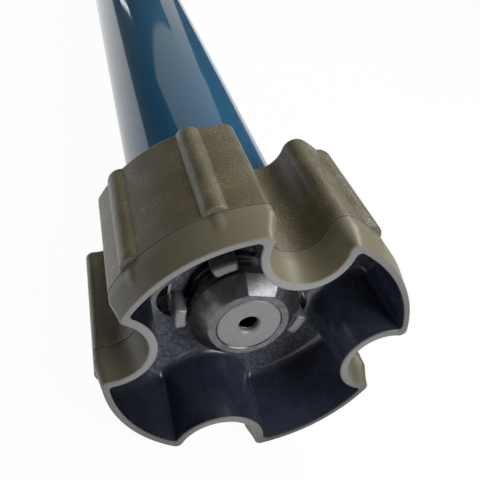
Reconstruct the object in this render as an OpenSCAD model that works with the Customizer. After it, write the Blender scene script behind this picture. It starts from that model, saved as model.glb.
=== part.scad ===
// Tubular motor for a roller blind, lying along +Y with its drive end at the origin.
// The origin is the centre of the output shaft's end face, +Z is up, and +Y runs to the motor head.
// Angles about the axis are counted from +Z towards +X.

/* [Drive adapter] */
// Radius of the adapter's lobes at the rim
adapter_r = 36.5; // [35.5:0.1:40]
// Length of the adapter along the axis
adapter_len = 44.3; // [42:0.1:60]
// Depth of the cup from its rim to its floor
cup_depth = 22; // [18:0.5:26]
// Thickness of the lobe walls
lobe_wall = 1.5; // [1:0.1:2]
// Thickness of the notch walls
notch_wall = 2; // [1.2:0.1:2.4]
// Distance from the axis to the centre of each notch, clockwise from the top
notch_centre = [32.3, 34, 35, 36.1]; // [31:0.1:38]
// Radius of each notch at the rim, clockwise from the top
notch_radius = [8.8, 9.2, 10.5, 9.2]; // [7:0.1:11]
// Length of the smooth front band, without ribs
band_len = 9.4; // [6:0.2:16]
// Length of the bevel round the rim
bevel_len = 6.2; // [3:0.2:9]
// Depth of that bevel
bevel_depth = 1.3; // [0.5:0.1:1.6]
// Radius of the circle that the rib crests reach
rib_crest_r = 39.3; // [38.8:0.1:42]
// Radius of a rib's round crest
rib_r = 3.2; // [2.5:0.1:4]
// Angle from a lobe's middle to each of its two ribs
rib_angle = 16.3; // [12:0.1:20]
// Turn of the ribs of each lobe, clockwise from the upper right one
rib_turn = [2.5, 0, 0, -1.5]; // [-4:0.5:4]
// Thickness of the cup floor
floor_t = 2; // [1.4:0.1:3]
// Wall of the hub that grips the shaft
hub_wall = 3; // [2:0.1:4]
// Thickness of the webs behind the floor
web_t = 1.8; // [1.2:0.1:3]

/* [Snap clips] */
// Angle of each snap clip about the axis
clip_angles = [-35, -102, 102, 35]; // [-180:1:180]
// Angle that one clip spans
clip_span = 22; // [14:1:30]
// Height of a clip above the floor
clip_h = 7.4; // [6:0.1:8.2]
// Radial thickness of a clip
clip_t = 3.2; // [2:0.1:4]
// Gap between a clip's post and the shaft collar
clip_gap = 0.7; // [0.3:0.1:1.2]
// Height of the hooked tooth
tooth_h = 2.4; // [1.5:0.1:2.8]
// Radius of the round window behind each clip
window_r = 6.2; // [4.5:0.1:6.5]

/* [Output shaft] */
// Distance from the adapter's rim back to the shaft's end face
shaft_recess = 10.7; // [8:0.1:14]
// Radius of the shaft's end face
face_r = 10.4; // [9.6:0.1:11.5]
// Radius of the shaft's collar and drive section
collar_r = 14.3; // [13:0.1:15]
// Half of the angle that one drive flat spans
flat_half_angle = 19; // [10:1:25]
// Length of the tapered nose
nose_len = 3.9; // [3:0.1:5]
// Length of the collar that the clips hook behind
collar_len = 2.6; // [2:0.1:3.5]
// Width of the groove behind the collar
groove_len = 3.4; // [3:0.1:5]
// Depth of that groove
groove_depth = 1.9; // [1:0.1:2.5]
// Length of the section that drives the adapter
drive_len = 14.6; // [10:0.1:18]
// Thickness of the thrust flange behind the adapter
thrust_t = 1.8; // [1:0.1:3]
// Radius of the shaft's journal
journal_r = 9; // [7.5:0.1:10]
// Radius of the spigot that carries the output carrier
spigot_r = 6.5; // [5:0.1:7]
// Radius of the end disc set in the shaft's face
disc_r = 8.3; // [7:0.1:9]
// Thickness of the end disc
disc_t = 1.6; // [1:0.1:2.5]
// Radius of the tapped hole in the shaft
tapped_r = 2.5; // [2:0.1:3.3]
// Depth of the tapped hole behind the end disc
tapped_depth = 16; // [10:1:22]

/* [Motor tube] */
// Outer radius of the motor tube
tube_r = 22.5; // [22:0.1:23.5]
// Wall of the motor tube
tube_wall = 1; // [0.8:0.1:1.2]
// Length of the motor tube
tube_len = 440; // [440:1:520]
// Gap between the adapter and the end cap
tube_gap = 2.4; // [0.6:0.1:3]
// Thickness of the end cap's flange
cap_flange_t = 1.5; // [1:0.1:3]
// Length of the end cap's spigot inside the tube
cap_spigot_len = 14; // [12:0.5:20]
// Radius of the end cap's neck
neck_r = 15; // [14:0.1:16]
// Wall of the two sintered bushes
bush_wall = 2.5; // [1.5:0.1:3]
// Length of each bush
bush_len = 8.6; // [6:0.1:9]
// Length of the shaft seal
seal_len = 2.2; // [1.5:0.1:3]
// Thickness of the retaining rings
ring_t = 1; // [0.8:0.1:1.4]
// Radius of the fixing rivets
rivet_r = 1.6; // [1:0.1:2]

/* [Gear stages] */
// Wall of the gearbox housing behind its teeth
ring_wall = 2.62; // [2:0.01:3.6]
// Face width of the output stage's planets
output_face = 12; // [8:0.5:16]
// Face width of the first stage's planets
first_face = 10; // [6:0.5:14]
// Radius of the planet pins
pin_r = 2; // [1.5:0.1:2.5]
// Gap between a carrier plate and the tips of the ring gear's teeth
carrier_gap = 1.27; // [0.9:0.01:2.5]
// Thickness of the output carrier
output_carrier_t = 4.5; // [3:0.1:6]
// Thickness of the first carrier
first_carrier_t = 3.5; // [2.5:0.1:5]
// Thickness of the gearbox cover
gear_cover_t = 3; // [2:0.1:5]

/* [Brake] */
// Length of the brake housing
brake_len = 21; // [19:0.5:28]
// Thickness of the brake housing's front plate and of the armature
brake_plate_t = 3; // [2:0.1:4]
// Thickness of the friction lining
lining_t = 2.2; // [1:0.1:3]
// Gap between the brake disc's edge and the guide pins
lining_gap = 0.6; // [0.3:0.1:2]
// Thickness of the brake disc
brake_disc_t = 2.5; // [1.5:0.1:4]
// Distance that the armature moves when the brake is released
brake_travel = 0.5; // [0.3:0.1:0.8]
// Radius of the armature's two guide pins
guide_pin_r = 1.5; // [1:0.1:1.8]
// Wall of the brake housing
brake_wall = 2.2; // [1.6:0.1:3]
// Distance from the brake housing's wall in to the guide pins
guide_pin_in = 4.65; // [3.75:0.05:4.85]

/* [Electric motor] */
// Radius of the rotor shaft
rotor_shaft_r = 4; // [3.5:0.1:4.1]
// Thickness of the stator's yoke behind its slots
yoke_t = 2.65; // [1.5:0.05:4]
// Length of the stator core
stator_len = 80; // [60:1:110]
// Air gap between the rotor and the stator
air_gap = 0.4; // [0.3:0.05:0.6]
// Slots in the stator
slot_count = 12; // [9:3:15]
// Radius of one stator slot
slot_r = 2; // [1.5:0.1:2.2]
// Length of each winding head
winding_len = 11.5; // [8:0.5:16]
// Length of each end bell
bell_len = 9; // [7:0.5:12]
// Outer radius of the ball bearings
bearing_r = 8; // [7.6:0.1:9.5]
// Width of the ball bearings
bearing_w = 5; // [4:0.1:6]
// Balls in each bearing
ball_count = 9; // [7:1:10]
// Thickness of the bearing races
race_t = 1.1; // [0.8:0.05:1.2]

/* [Capacitor and electronics] */
// Wall of the holders round the run capacitor
holder_side = 4.95; // [4:0.05:7]
// Length of the run capacitor
capacitor_len = 60; // [45:1:70]
// Length of each capacitor holder
holder_len = 8; // [5:0.5:12]
// Distance from the tray's ends to the circuit board
board_end_gap = 15.2; // [11:0.1:21]
// Clearance between the circuit board's edges and the tray
board_side_gap = 1.05; // [0.8:0.05:3]
// Thickness of the circuit board
board_t = 1.6; // [1:0.1:2]
// Height of the board's underside below the axis
board_drop = 7.5; // [6:0.1:8.5]
// Wall of the electronics tray and its cover
tray_wall = 1.9; // [1.4:0.1:2.2]

/* [Head] */
// Height of the head's flange above the tube
flange_rise = 8.5; // [7.5:0.1:11]
// Length of the head's flange
head_len = 18; // [16:0.5:24]
// Length of the head's spigot inside the tube
head_spigot_len = 38; // [30:1:50]
// Length of the bare neck between the tube and the flange
head_neck_len = 27; // [26:0.5:34]
// Radius of the hollow core in the head
core_r = 11.5; // [9:0.1:11.8]
// Radius of the circle through the four mounting holes
mount_circle_r = 24; // [22.5:0.1:25]
// Radius of the four tapped mounting holes
mount_hole_r = 2.5; // [2:0.1:3]
// Depth of the four mounting holes
mount_hole_depth = 14; // [10:0.5:15]
// Radius of the end cover
cover_r = 16; // [15:0.1:17.5]
// Thickness of the end cover
cover_t = 2.5; // [1.5:0.1:4]
// Radius of the end cover's screws
cover_screw_r = 1.2; // [0.8:0.1:1.4]
// Radius of the cable inlet's rubber grommet
grommet_r = 5; // [4.2:0.1:6]
// Radius of the hole that the cable passes through
cable_r = 3.3; // [2.5:0.1:3.6]
// Radius of the setting button
button_r = 3.6; // [2.5:0.1:4.2]
// Height of the button above the flange at rest
button_rise = 1.4; // [1.3:0.1:2.5]
// Distance that the button travels when pressed
button_travel = 1.2; // [0.6:0.1:1.2]
// Radius of the status light
light_r = 1.5; // [1:0.1:2]

/* [Crown] */
// Length of the crown
crown_len = 20; // [16:0.5:22]
// Wall of the crown
crown_wall = 3.5; // [2.9:0.1:4.5]
// Width of the crown's toothed track
track_w = 5.5; // [4:0.1:7]
// Length of the crown adapter
crown_adapter_len = 18; // [12:0.5:18]
// Radius of the crown adapter's four notches
crown_notch_r = 5; // [3:0.1:5.2]
// Radius of the lip that stops the roller tube
lip_r = 40.4; // [39.8:0.1:42]
// Thickness of that lip
lip_t = 2; // [1.2:0.1:3]
// Radius of the encoder shaft
encoder_shaft_r = 1.6; // [1.2:0.1:2]

/* [Fits] */
// Radial clearance of a running fit
run_fit = 0.05; // [0.03:0.01:0.08]
// Radial clearance of pieces seated in the tube or in each other
seat_fit = 0.05; // [0.03:0.01:0.1]
// Clearance between the adapter's hub and the shaft
hub_fit = 0.12; // [0.05:0.01:0.2]
// Axial clearance beside a turning piece
end_float = 0.4; // [0.3:0.05:0.5]
// Tooth thinning that gives the gears their backlash
tooth_thin = 0.1; // [0.06:0.01:0.14]

/* [Hidden] */
$fn = 96;
eps = 0.02;
quarter = 90;
pressure_angle = 20;

// Radii that the tube sets
bore_r = tube_r - tube_wall;
seat_r = bore_r - seat_fit;
head_r = tube_r + flange_rise;
crown_r = tube_r + crown_wall;
capacitor_r = seat_r - holder_side;
guide_pin_at = seat_r - brake_wall - guide_pin_in;
lining_r = guide_pin_at - guide_pin_r - lining_gap;
slot_mouth = 1.4;
slot_neck = 0.8;
slot_at = seat_r - yoke_t - slot_r;
stator_bore_r = slot_at - 2 * slot_r - slot_neck;
rotor_r = stator_bore_r - air_gap;

// Walls and small features
holder_wall = 3;
ring_groove_depth = 0.8;
ring_rise = 1.6;
end_ring_len = 6;
track_gap = 0.124;
rib_end = 0.6;
window_margin = 3.1;
bell_hole_r = 2.4;
screw_len = 7;
screw_head_h = 1.2;
screw_slot = 0.6;

// Stations along the axis, from the drive end to the head
rim_y = -shaft_recess;
adapter_back_y = rim_y + adapter_len;
band_end_y = rim_y + band_len;
bevel_y = rim_y + bevel_len;
floor_y = rim_y + cup_depth;
collar_y = nose_len;
groove_y = collar_y + collar_len;
drive_y = groove_y + groove_len;
thrust_y = drive_y + drive_len;
journal_y = thrust_y + thrust_t;
neck_y = journal_y + end_float;
cap_y = adapter_back_y + tube_gap;
tube_y = cap_y + cap_flange_t;
cap_back_y = tube_y + cap_spigot_len;
shaft_ring_y = cap_back_y + end_float;
shaft_ring_back_y = shaft_ring_y + ring_t;
output_carrier_y = shaft_ring_back_y + end_float;
output_planet_y = output_carrier_y + output_carrier_t + end_float;
first_carrier_y = output_planet_y + output_face + end_float;
first_planet_y = first_carrier_y + first_carrier_t + end_float;
sun_end_y = first_planet_y + first_face;
gear_cover_y = sun_end_y + 2 * end_float;
brake_y = gear_cover_y + gear_cover_t;
lining_y = brake_y + brake_plate_t;
brake_disc_y = lining_y + lining_t + run_fit;
armature_y = brake_disc_y + brake_disc_t + run_fit;
armature_back_y = armature_y + brake_plate_t;
front_bell_y = brake_y + brake_len;
winding_y = front_bell_y + bell_len + end_float;
stator_y = winding_y + winding_len;
stator_back_y = stator_y + stator_len;
rear_bell_y = stator_back_y + winding_len + end_float;
rear_bell_back_y = rear_bell_y + bell_len;
holder_y = rear_bell_back_y;
capacitor_y = holder_y + holder_wall;
rear_holder_y = capacitor_y + capacitor_len + holder_wall - holder_len;
tray_y = rear_holder_y + holder_len;
tube_back_y = tube_y + tube_len;
head_y = tube_back_y - head_spigot_len;
tray_len = head_y - tray_y;
flange_y = tube_back_y + head_neck_len;
head_back_y = flange_y + head_len;
crown_ring_y = tube_back_y + end_float;
crown_y = crown_ring_y + ring_t + end_float;
crown_back_y = crown_y + crown_len;
track_y = crown_y + (crown_len - track_w) / 2;
pinion_w = track_w - 2 * end_float;
pinion_y = track_y + end_float;
crown_adapter_y = crown_back_y - crown_adapter_len;
board_y = tray_y + board_end_gap;
board_len = tray_len - 2 * board_end_gap;
board_w = 2 * (sqrt(pow(seat_r - tray_wall, 2) - pow(board_drop, 2)) - board_side_gap);
board_top = board_t - board_drop;

// Radii
body_r = adapter_r + bevel_depth;
clip_in_r = collar_r + clip_gap;
clip_out_r = clip_in_r + clip_t;
tooth_in_r = collar_r - groove_depth + clip_gap / 2;
flat_at = collar_r * cos(flat_half_angle);
face_flat_at = face_r * cos(flat_half_angle);
hub_r = collar_r + hub_fit + hub_wall;
window_in_r = clip_out_r + 0.1;
window_at = window_in_r + window_margin - window_r;
thrust_r = collar_r + 1.5;
bush_r = journal_r + run_fit + bush_wall;
sun_hub_r = 3.2;
shaft_pass_gap = 1;
winding_fit = 0.15;
cage_r = rotor_r - 0.4;
ball_at = (bearing_r + rotor_shaft_r) / 2;
ball_r = (bearing_r - rotor_shaft_r - 2 * race_t) / 2 - run_fit;
grommet_y = flange_y + head_len / 2;
switch_side = 4.6;
button_len = 5;
switch_gap = 0.2;
switch_top_r = head_r + button_rise - button_len - button_travel - switch_gap;
switch_floor_r = switch_top_r - 4;
light_angle = 24;
encoder_angle = 180;
inlet_angle = 90;
rivet_angles = [100, 190];
cover_screw_angles = [60, 180, 300];
cover_screw_at = (core_r + cover_r) / 2;
screw_head_r = 1.5 * cover_screw_r;
screw_head_y = head_back_y - screw_head_h;
lobe_middles = [45, 135, 225, 315];

// Gears: tooth counts, and modules that fill the tube's bore and the crown's wall
sun_teeth = 12;
planet_teeth = 15;
planet_count = 3;
crown_teeth = 66;
pinion_teeth = 14;
ring_teeth = sun_teeth + 2 * planet_teeth;
addendum = 0.9;
ring_addendum = 0.68;
dedendum = 1.15;
gear_module = (seat_r - ring_wall) / (ring_teeth / 2 + dedendum);
crown_module = (tube_r + track_gap) / (crown_teeth / 2 - ring_addendum);
sun_pitch_r = gear_module * sun_teeth / 2;
planet_pitch_r = gear_module * planet_teeth / 2;
ring_pitch_r = gear_module * ring_teeth / 2;
planet_at = sun_pitch_r + planet_pitch_r;
carrier_r = ring_pitch_r - ring_addendum * gear_module - carrier_gap;
pinion_at = crown_module * (crown_teeth - pinion_teeth) / 2;
pinion_tip_r = crown_module * (pinion_teeth / 2 + addendum);

// Point at radius r and angle a, in the plane across the axis
function around(r, a) = [r * sin(a), -r * cos(a)];
// Involute function of an angle in degrees, in degrees
function involute(a) = tan(a) * 180 / PI - a;
// Half of the angle that a tooth spans at radius r
function half_tooth(r, z, m, thin) =
  let (pitch = m * z / 2, base = pitch * cos(pressure_angle))
  90 / z - thin / pitch * 90 / PI + involute(pressure_angle)
  - (r > base ? involute(acos(base / r)) : 0);

// Stands its children on the plane y, with their own Z along +Y
module along_axis(y) {
  translate([0, y, 0])
    rotate([-90, 0, 0])
      children();
}

// Turns its children to an angle about the axis, r away from it
module at_angle(a, r) {
  rotate([0, 0, a])
    translate([0, -r, 0])
      children();
}

// Tube or disc about the axis from y0 to y1
module ring(y0, y1, outer, inner = 0) {
  along_axis(y0)
    difference() {
      cylinder(h = y1 - y0, r = outer);
      if (inner > 0)
        translate([0, 0, -eps])
          cylinder(h = y1 - y0 + 2 * eps, r = inner);
    }
}

// Round piece that stands out from the axis, from radius r0 to r1, at a station and an angle
module radial(y, a, r0, r1, r) {
  translate([0, y, 0])
    rotate([0, a, 0])
      translate([0, 0, r0])
        cylinder(h = r1 - r0, r = r);
}

// Gear outline with a tooth at angle 0
module gear_outline(z, m, add, ded, thin) {
  pitch = m * z / 2;
  last = 3;
  radii = [for (i = [0:last]) pitch - ded * m + (add + ded) * m * i / last];
  polygon([
    for (tooth = [0:z - 1], side = [-1, 1], i = [0:last])
      let (r = radii[side < 0 ? i : last - i])
      around(r, tooth * 360 / z + side * half_tooth(r, z, m, thin))
  ]);
}

// Outline of the adapters: a disc with four round notches
module star_outline(r, grow) {
  difference() {
    circle(r = r);
    for (k = [0:3])
      at_angle(k * quarter, notch_centre[k])
        circle(r = notch_radius[k] + grow);
  }
}

// Round-crested ribs on the lobes, each pair turned by its lobe's own angle
module ribs(h, turn) {
  for (lobe = [0:3], side = [-1, 1])
    at_angle(lobe_middles[lobe] + turn[lobe] + side * rib_angle, rib_crest_r - rib_r)
      cylinder(h = h, r = rib_r);
}

// Notch that widens towards the rim with the bevel, cut from 1 mm before the rim
module rim_notch(r) {
  cylinder(h = adapter_len + 2, r = r - bevel_depth);
  cylinder(h = bevel_len + 1, r1 = r + bevel_depth / bevel_len, r2 = r - bevel_depth);
}

// Round window of the floor, as far as it lies outside the clip
module window(a) {
  difference() {
    at_angle(a, window_at)
      circle(r = window_r);
    circle(r = window_in_r);
  }
}

// Section that drives the adapter: a disc with four flats
module drive_outline(grow) {
  intersection() {
    circle(r = collar_r + grow);
    square(2 * (flat_at + grow), center = true);
  }
}

// Snap clip with its hooked tooth, whose middle lies at the middle of the shaft's groove
module clip(a) {
  tooth_at = floor_y + floor_t / 2 - groove_y - groove_len / 2;
  rotate([0, 0, quarter - a - clip_span / 2]) {
    rotate_extrude(angle = clip_span)
      translate([clip_in_r, 0])
        square([clip_t, clip_h + floor_t / 2]);
    rotate_extrude(angle = clip_span)
      translate([tooth_in_r, tooth_at - tooth_h / 2])
        square([clip_in_r - tooth_in_r + eps, tooth_h]);
  }
}

// Hollow behind the cup floor, round the hub and its webs
module rear_hollow() {
  difference() {
    star_outline(adapter_r - lobe_wall, notch_wall);
    circle(r = hub_r);
    for (lobe = lobe_middles)
      rotate(lobe)
        translate([-web_t / 2, -adapter_r])
          square([web_t, adapter_r]);
  }
}

// Drive adapter: the star-shaped cup that turns the roller tube
module drive_adapter() {
  color([0.24, 0.23, 0.2])
    union() {
      difference() {
        union() {
          along_axis(rim_y)
            cylinder(h = bevel_len, r1 = adapter_r, r2 = body_r);
          ring(bevel_y - eps, adapter_back_y, body_r);
          along_axis(band_end_y)
            ribs(adapter_back_y - band_end_y - rib_end, rib_turn);
        }
        along_axis(rim_y - 1)
          for (k = [0:3])
            at_angle(k * quarter, notch_centre[k])
              rim_notch(notch_radius[k]);
        along_axis(rim_y - 1)
          linear_extrude(height = cup_depth + 1)
            star_outline(adapter_r - lobe_wall, notch_wall);
        along_axis(floor_y + floor_t)
          linear_extrude(height = adapter_len)
            rear_hollow();
        ring(thrust_y - run_fit, adapter_back_y + 1, hub_r + 1);
        along_axis(floor_y - 1)
          linear_extrude(height = adapter_len)
            drive_outline(hub_fit);
        for (a = clip_angles)
          along_axis(floor_y - 1)
            linear_extrude(height = floor_t + 2)
              window(a);
      }
      for (a = clip_angles)
        translate([0, floor_y + floor_t / 2, 0])
          rotate([90, 0, 0])
            clip(a);
    }
}

// Output shaft with its tapered nose, clip groove, drive flats, journal and spigot
module output_shaft() {
  taper = atan((flat_at - face_flat_at) / nose_len);
  color([0.55, 0.56, 0.58])
    difference() {
      union() {
        difference() {
          along_axis(0)
            cylinder(h = nose_len, r1 = face_r, r2 = collar_r);
          for (k = [0:3])
            rotate([0, k * quarter, 0])
              translate([0, 0, face_flat_at])
                rotate([taper, 0, 0])
                  translate([-collar_r, -collar_r, 0])
                    cube([2 * collar_r, 3 * collar_r, collar_r]);
        }
        along_axis(collar_y)
          linear_extrude(height = collar_len)
            drive_outline(0);
        ring(groove_y - eps, drive_y + eps, collar_r - groove_depth);
        along_axis(drive_y)
          linear_extrude(height = drive_len)
            drive_outline(0);
        ring(thrust_y - eps, journal_y, thrust_r);
        ring(journal_y - eps, output_carrier_y - end_float, journal_r);
        ring(journal_y, output_carrier_y + output_carrier_t, spigot_r);
      }
      ring(-eps, disc_t, disc_r);
      ring(0, disc_t + tapped_depth, tapped_r);
      difference() {
        ring(shaft_ring_y, shaft_ring_back_y, journal_r + 1);
        ring(shaft_ring_y - 1, shaft_ring_back_y + 1, journal_r - ring_groove_depth);
      }
    }
}

// Disc set flush in the shaft's face, with the screw's hole through it
module shaft_end_disc() {
  color([0.62, 0.64, 0.66])
    ring(0, disc_t - eps, disc_r - seat_fit, tapped_r);
}

// Ring that keeps the shaft in the end cap
module shaft_retaining_ring() {
  color([0.3, 0.3, 0.32])
    ring(shaft_ring_y + eps, shaft_ring_back_y - eps, journal_r + ring_rise,
      journal_r - ring_groove_depth + seat_fit);
}

// Carrier plate with holes for its planet pins
module carrier(y, t, bore) {
  difference() {
    ring(y, y + t, carrier_r, bore);
    planet_places()
      along_axis(y - eps)
        cylinder(h = t + 2 * eps, r = pin_r + seat_fit / 2);
  }
}

// Repeats its children at each planet's place
module planet_places() {
  for (k = [0:planet_count - 1])
    planet_place(k)
      children();
}

// Moves its children to planet k's place
module planet_place(k) {
  rotate([0, k * 360 / planet_count, 0])
    translate([0, 0, planet_at])
      children();
}

// Planet gear k of a stage
module planet(k, y, face) {
  planet_place(k)
    along_axis(y)
      difference() {
        linear_extrude(height = face)
          gear_outline(planet_teeth, gear_module, addendum, dedendum, tooth_thin);
        translate([0, 0, -eps])
          cylinder(h = face + 2 * eps, r = pin_r + run_fit);
      }
}

// Plate on the output shaft that the output planets drive
module output_carrier() {
  color([0.5, 0.5, 0.52])
    carrier(output_carrier_y, output_carrier_t, spigot_r + seat_fit / 2);
}

// Pins of the output stage's planets
module output_planet_pins() {
  color([0.7, 0.7, 0.72])
    planet_places()
      ring(output_carrier_y, output_planet_y + output_face, pin_r);
}

// Output stage's planets
module output_planet(k) {
  color([0.75, 0.68, 0.5])
    planet(k, output_planet_y, output_face);
}

// Sun gear of the output stage, pressed into the first carrier
module output_sun() {
  color([0.6, 0.6, 0.6])
    union() {
      along_axis(output_planet_y + end_float)
        linear_extrude(height = first_carrier_y - output_planet_y - end_float)
          gear_outline(sun_teeth, gear_module, addendum, dedendum, tooth_thin);
      ring(first_carrier_y - eps, first_carrier_y + first_carrier_t, sun_hub_r);
    }
}

// Carrier plate of the first stage
module first_carrier() {
  color([0.5, 0.5, 0.52])
    carrier(first_carrier_y, first_carrier_t, sun_hub_r + seat_fit / 2);
}

// Pins of the first stage's planets
module first_planet_pins() {
  color([0.7, 0.7, 0.72])
    planet_places()
      ring(first_carrier_y, first_planet_y + first_face, pin_r);
}

// First stage's planets
module first_planet(k) {
  color([0.75, 0.68, 0.5])
    planet(k, first_planet_y, first_face);
}

// Blue steel tube that houses the motor
module motor_tube() {
  color([0.1, 0.3, 0.45])
    difference() {
      ring(tube_y, tube_back_y, tube_r, bore_r);
      rivet_holes(tube_y + cap_spigot_len / 2);
      rivet_holes(tube_back_y - head_spigot_len / 2);
    }
}

// Rivets at one station
module rivets(y, r) {
  for (a = rivet_angles)
    radial(y, a, bore_r - 3, tube_r, r);
}

// Holes for the rivets at one station
module rivet_holes(y) {
  for (a = rivet_angles)
    radial(y, a, bore_r - 3 - seat_fit, tube_r + 1, rivet_r + seat_fit / 2);
}

// Die-cast cap that closes the tube's drive end and carries the shaft
module output_end_cap() {
  color([0.42, 0.43, 0.45])
    difference() {
      union() {
        ring(neck_y, cap_y + eps, neck_r);
        ring(cap_y, tube_y, tube_r);
        ring(tube_y - eps, cap_back_y, seat_r);
      }
      ring(neck_y - eps, cap_back_y + eps, bush_r + seat_fit / 2);
      rivet_holes(tube_y + cap_spigot_len / 2);
    }
}

// Rivets that hold the tube on the end cap
module cap_rivets() {
  color([0.6, 0.6, 0.62])
    rivets(tube_y + cap_spigot_len / 2, rivet_r);
}

// Sintered bush at the cap's mouth
module front_bush() {
  color([0.6, 0.45, 0.25])
    ring(neck_y + seal_len, neck_y + seal_len + bush_len, bush_r, journal_r + run_fit);
}

// Sintered bush at the cap's inner end
module rear_bush() {
  color([0.6, 0.45, 0.25])
    ring(cap_back_y - bush_len, cap_back_y, bush_r, journal_r + run_fit);
}

// Rubber seal that keeps dust out of the bushes
module shaft_seal() {
  color([0.1, 0.1, 0.1])
    ring(neck_y, neck_y + seal_len - eps, bush_r, journal_r + run_fit);
}

// Ring gear of both stages, which is also the gearbox housing
module gearbox_housing() {
  color([0.35, 0.36, 0.38])
    along_axis(cap_back_y)
      difference() {
        cylinder(h = gear_cover_y - cap_back_y, r = seat_r);
        translate([0, 0, -eps])
          linear_extrude(height = gear_cover_y - cap_back_y + 2 * eps)
            gear_outline(ring_teeth, gear_module, dedendum, ring_addendum, -tooth_thin);
      }
}

// Plate that closes the gearbox on the motor's side
module gearbox_cover() {
  color([0.45, 0.45, 0.47])
    ring(gear_cover_y, brake_y, seat_r, rotor_shaft_r + shaft_pass_gap);
}

// Cup that holds the brake
module brake_housing() {
  color([0.3, 0.3, 0.32])
    difference() {
      ring(brake_y, front_bell_y, seat_r, rotor_shaft_r + shaft_pass_gap);
      ring(lining_y, front_bell_y + eps, seat_r - brake_wall);
    }
}

// Friction lining bonded to the brake housing
module brake_lining() {
  color([0.35, 0.28, 0.2])
    ring(lining_y, lining_y + lining_t, lining_r, lining_r / 2);
}

// Brake disc on the rotor shaft
module brake_disc() {
  color([0.6, 0.6, 0.62])
    ring(brake_disc_y, brake_disc_y + brake_disc_t, lining_r, rotor_shaft_r + seat_fit / 2);
}

// Plate that the spring presses on the brake disc
module brake_armature() {
  color([0.55, 0.55, 0.57])
    difference() {
      ring(armature_y, armature_back_y, seat_r - brake_wall - end_float, rotor_shaft_r + shaft_pass_gap);
      for (a = [0, 180])
        radial_pin(a, armature_y - 1, armature_back_y + 1, guide_pin_r + run_fit);
    }
}

// Guide pin parallel to the axis
module radial_pin(a, y0, y1, r) {
  along_axis(y0)
    at_angle(a + quarter, guide_pin_at)
      cylinder(h = y1 - y0, r = r);
}

// Brake spring, wound as one coil between the armature and the front end bell
module brake_spring() {
  wire = 0.6;
  coil_r = rotor_shaft_r + shaft_pass_gap + 2 * wire + 0.6;
  first = armature_back_y + brake_travel + 0.1 + wire;
  last = front_bell_y - wire;
  turns = 5;
  steps = 16;
  sides = 6;
  count = turns * steps;
  points = [
    for (i = [0:count], s = [0:sides - 1])
      let (a = i * 360 / steps, r = coil_r + wire * cos(s * 360 / sides))
      [r * sin(a), first + (last - first) * i / count + wire * sin(s * 360 / sides), r * cos(a)]
  ];
  walls = [
    for (i = [0:count - 1], s = [0:sides - 1])
      let (a = i * sides + s, b = i * sides + (s + 1) % sides)
      each [[a, b, a + sides], [b, b + sides, a + sides]]
  ];
  start = [for (s = [1:sides - 2]) [0, s + 1, s]];
  finish = [for (s = [1:sides - 2]) [count * sides, count * sides + s, count * sides + s + 1]];
  color([0.65, 0.65, 0.67])
    polyhedron(points, concat(walls, start, finish));
}

// Two pins that keep the armature from turning
module brake_guide_pins() {
  color([0.7, 0.7, 0.72])
    for (a = [0, 180])
      radial_pin(a, armature_y - brake_disc_t, front_bell_y + bell_len / 2, guide_pin_r);
}

// Aluminium end bell with its bearing pocket
module end_bell(y, pocket_y) {
  difference() {
    ring(y, y + bell_len, seat_r, rotor_shaft_r + shaft_pass_gap);
    ring(pocket_y, pocket_y + bearing_w + 1, bearing_r + seat_fit / 2);
    for (a = cover_screw_angles)
      along_axis(y - eps)
        at_angle(a, guide_pin_at)
          cylinder(h = bell_len + 2 * eps, r = bell_hole_r);
  }
}

// End bell between the brake and the stator
module front_end_bell() {
  color([0.7, 0.71, 0.73])
    difference() {
      end_bell(front_bell_y, front_bell_y + bell_len - bearing_w);
      for (a = [0, 180])
        radial_pin(a, front_bell_y - 1, front_bell_y + bell_len / 2 + eps, guide_pin_r + seat_fit / 2);
    }
}

// End bell between the stator and the capacitor
module rear_end_bell() {
  color([0.7, 0.71, 0.73])
    end_bell(rear_bell_y, rear_bell_y - 1);
}

// Repeats its children in both end bells
module bearing_places() {
  for (y = [front_bell_y + bell_len - bearing_w, rear_bell_y])
    translate([0, y, 0])
      children();
}

// Outer races of the two ball bearings
module bearing_outer_rings() {
  color([0.75, 0.75, 0.78])
    bearing_places()
      ring(0, bearing_w, bearing_r, bearing_r - race_t);
}

// Inner races of the two ball bearings
module bearing_inner_rings() {
  color([0.75, 0.75, 0.78])
    bearing_places()
      ring(0, bearing_w, rotor_shaft_r + race_t, rotor_shaft_r + seat_fit / 2);
}

// Balls of the two ball bearings
module bearing_balls() {
  color([0.85, 0.85, 0.87])
    bearing_places()
      for (k = [0:ball_count - 1])
        rotate([0, k * 360 / ball_count, 0])
          translate([0, bearing_w / 2, ball_at])
            sphere(r = ball_r, $fn = 24);
}

// Laminated stator core
module stator_core() {
  color([0.45, 0.46, 0.5])
    along_axis(stator_y)
      linear_extrude(height = stator_len)
        difference() {
          circle(r = seat_r);
          circle(r = stator_bore_r);
          for (k = [0:slot_count - 1])
            at_angle(k * 360 / slot_count, slot_at) {
              circle(r = slot_r, $fn = 32);
              translate([-slot_mouth / 2, 0])
                square([slot_mouth, slot_at - stator_bore_r + 1]);
            }
        }
}

// Copper winding: a bar in each slot and a head at each end
module stator_winding() {
  head_in = stator_bore_r + 0.6;
  head_out = slot_at + slot_r;
  color([0.72, 0.4, 0.2])
    union() {
      along_axis(stator_y - eps)
        linear_extrude(height = stator_len + 2 * eps)
          for (k = [0:slot_count - 1])
            at_angle(k * 360 / slot_count, slot_at)
              circle(r = slot_r - winding_fit, $fn = 32);
      for (y = [winding_y, stator_back_y])
        ring(y, y + winding_len, head_out, head_in);
    }
}

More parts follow.
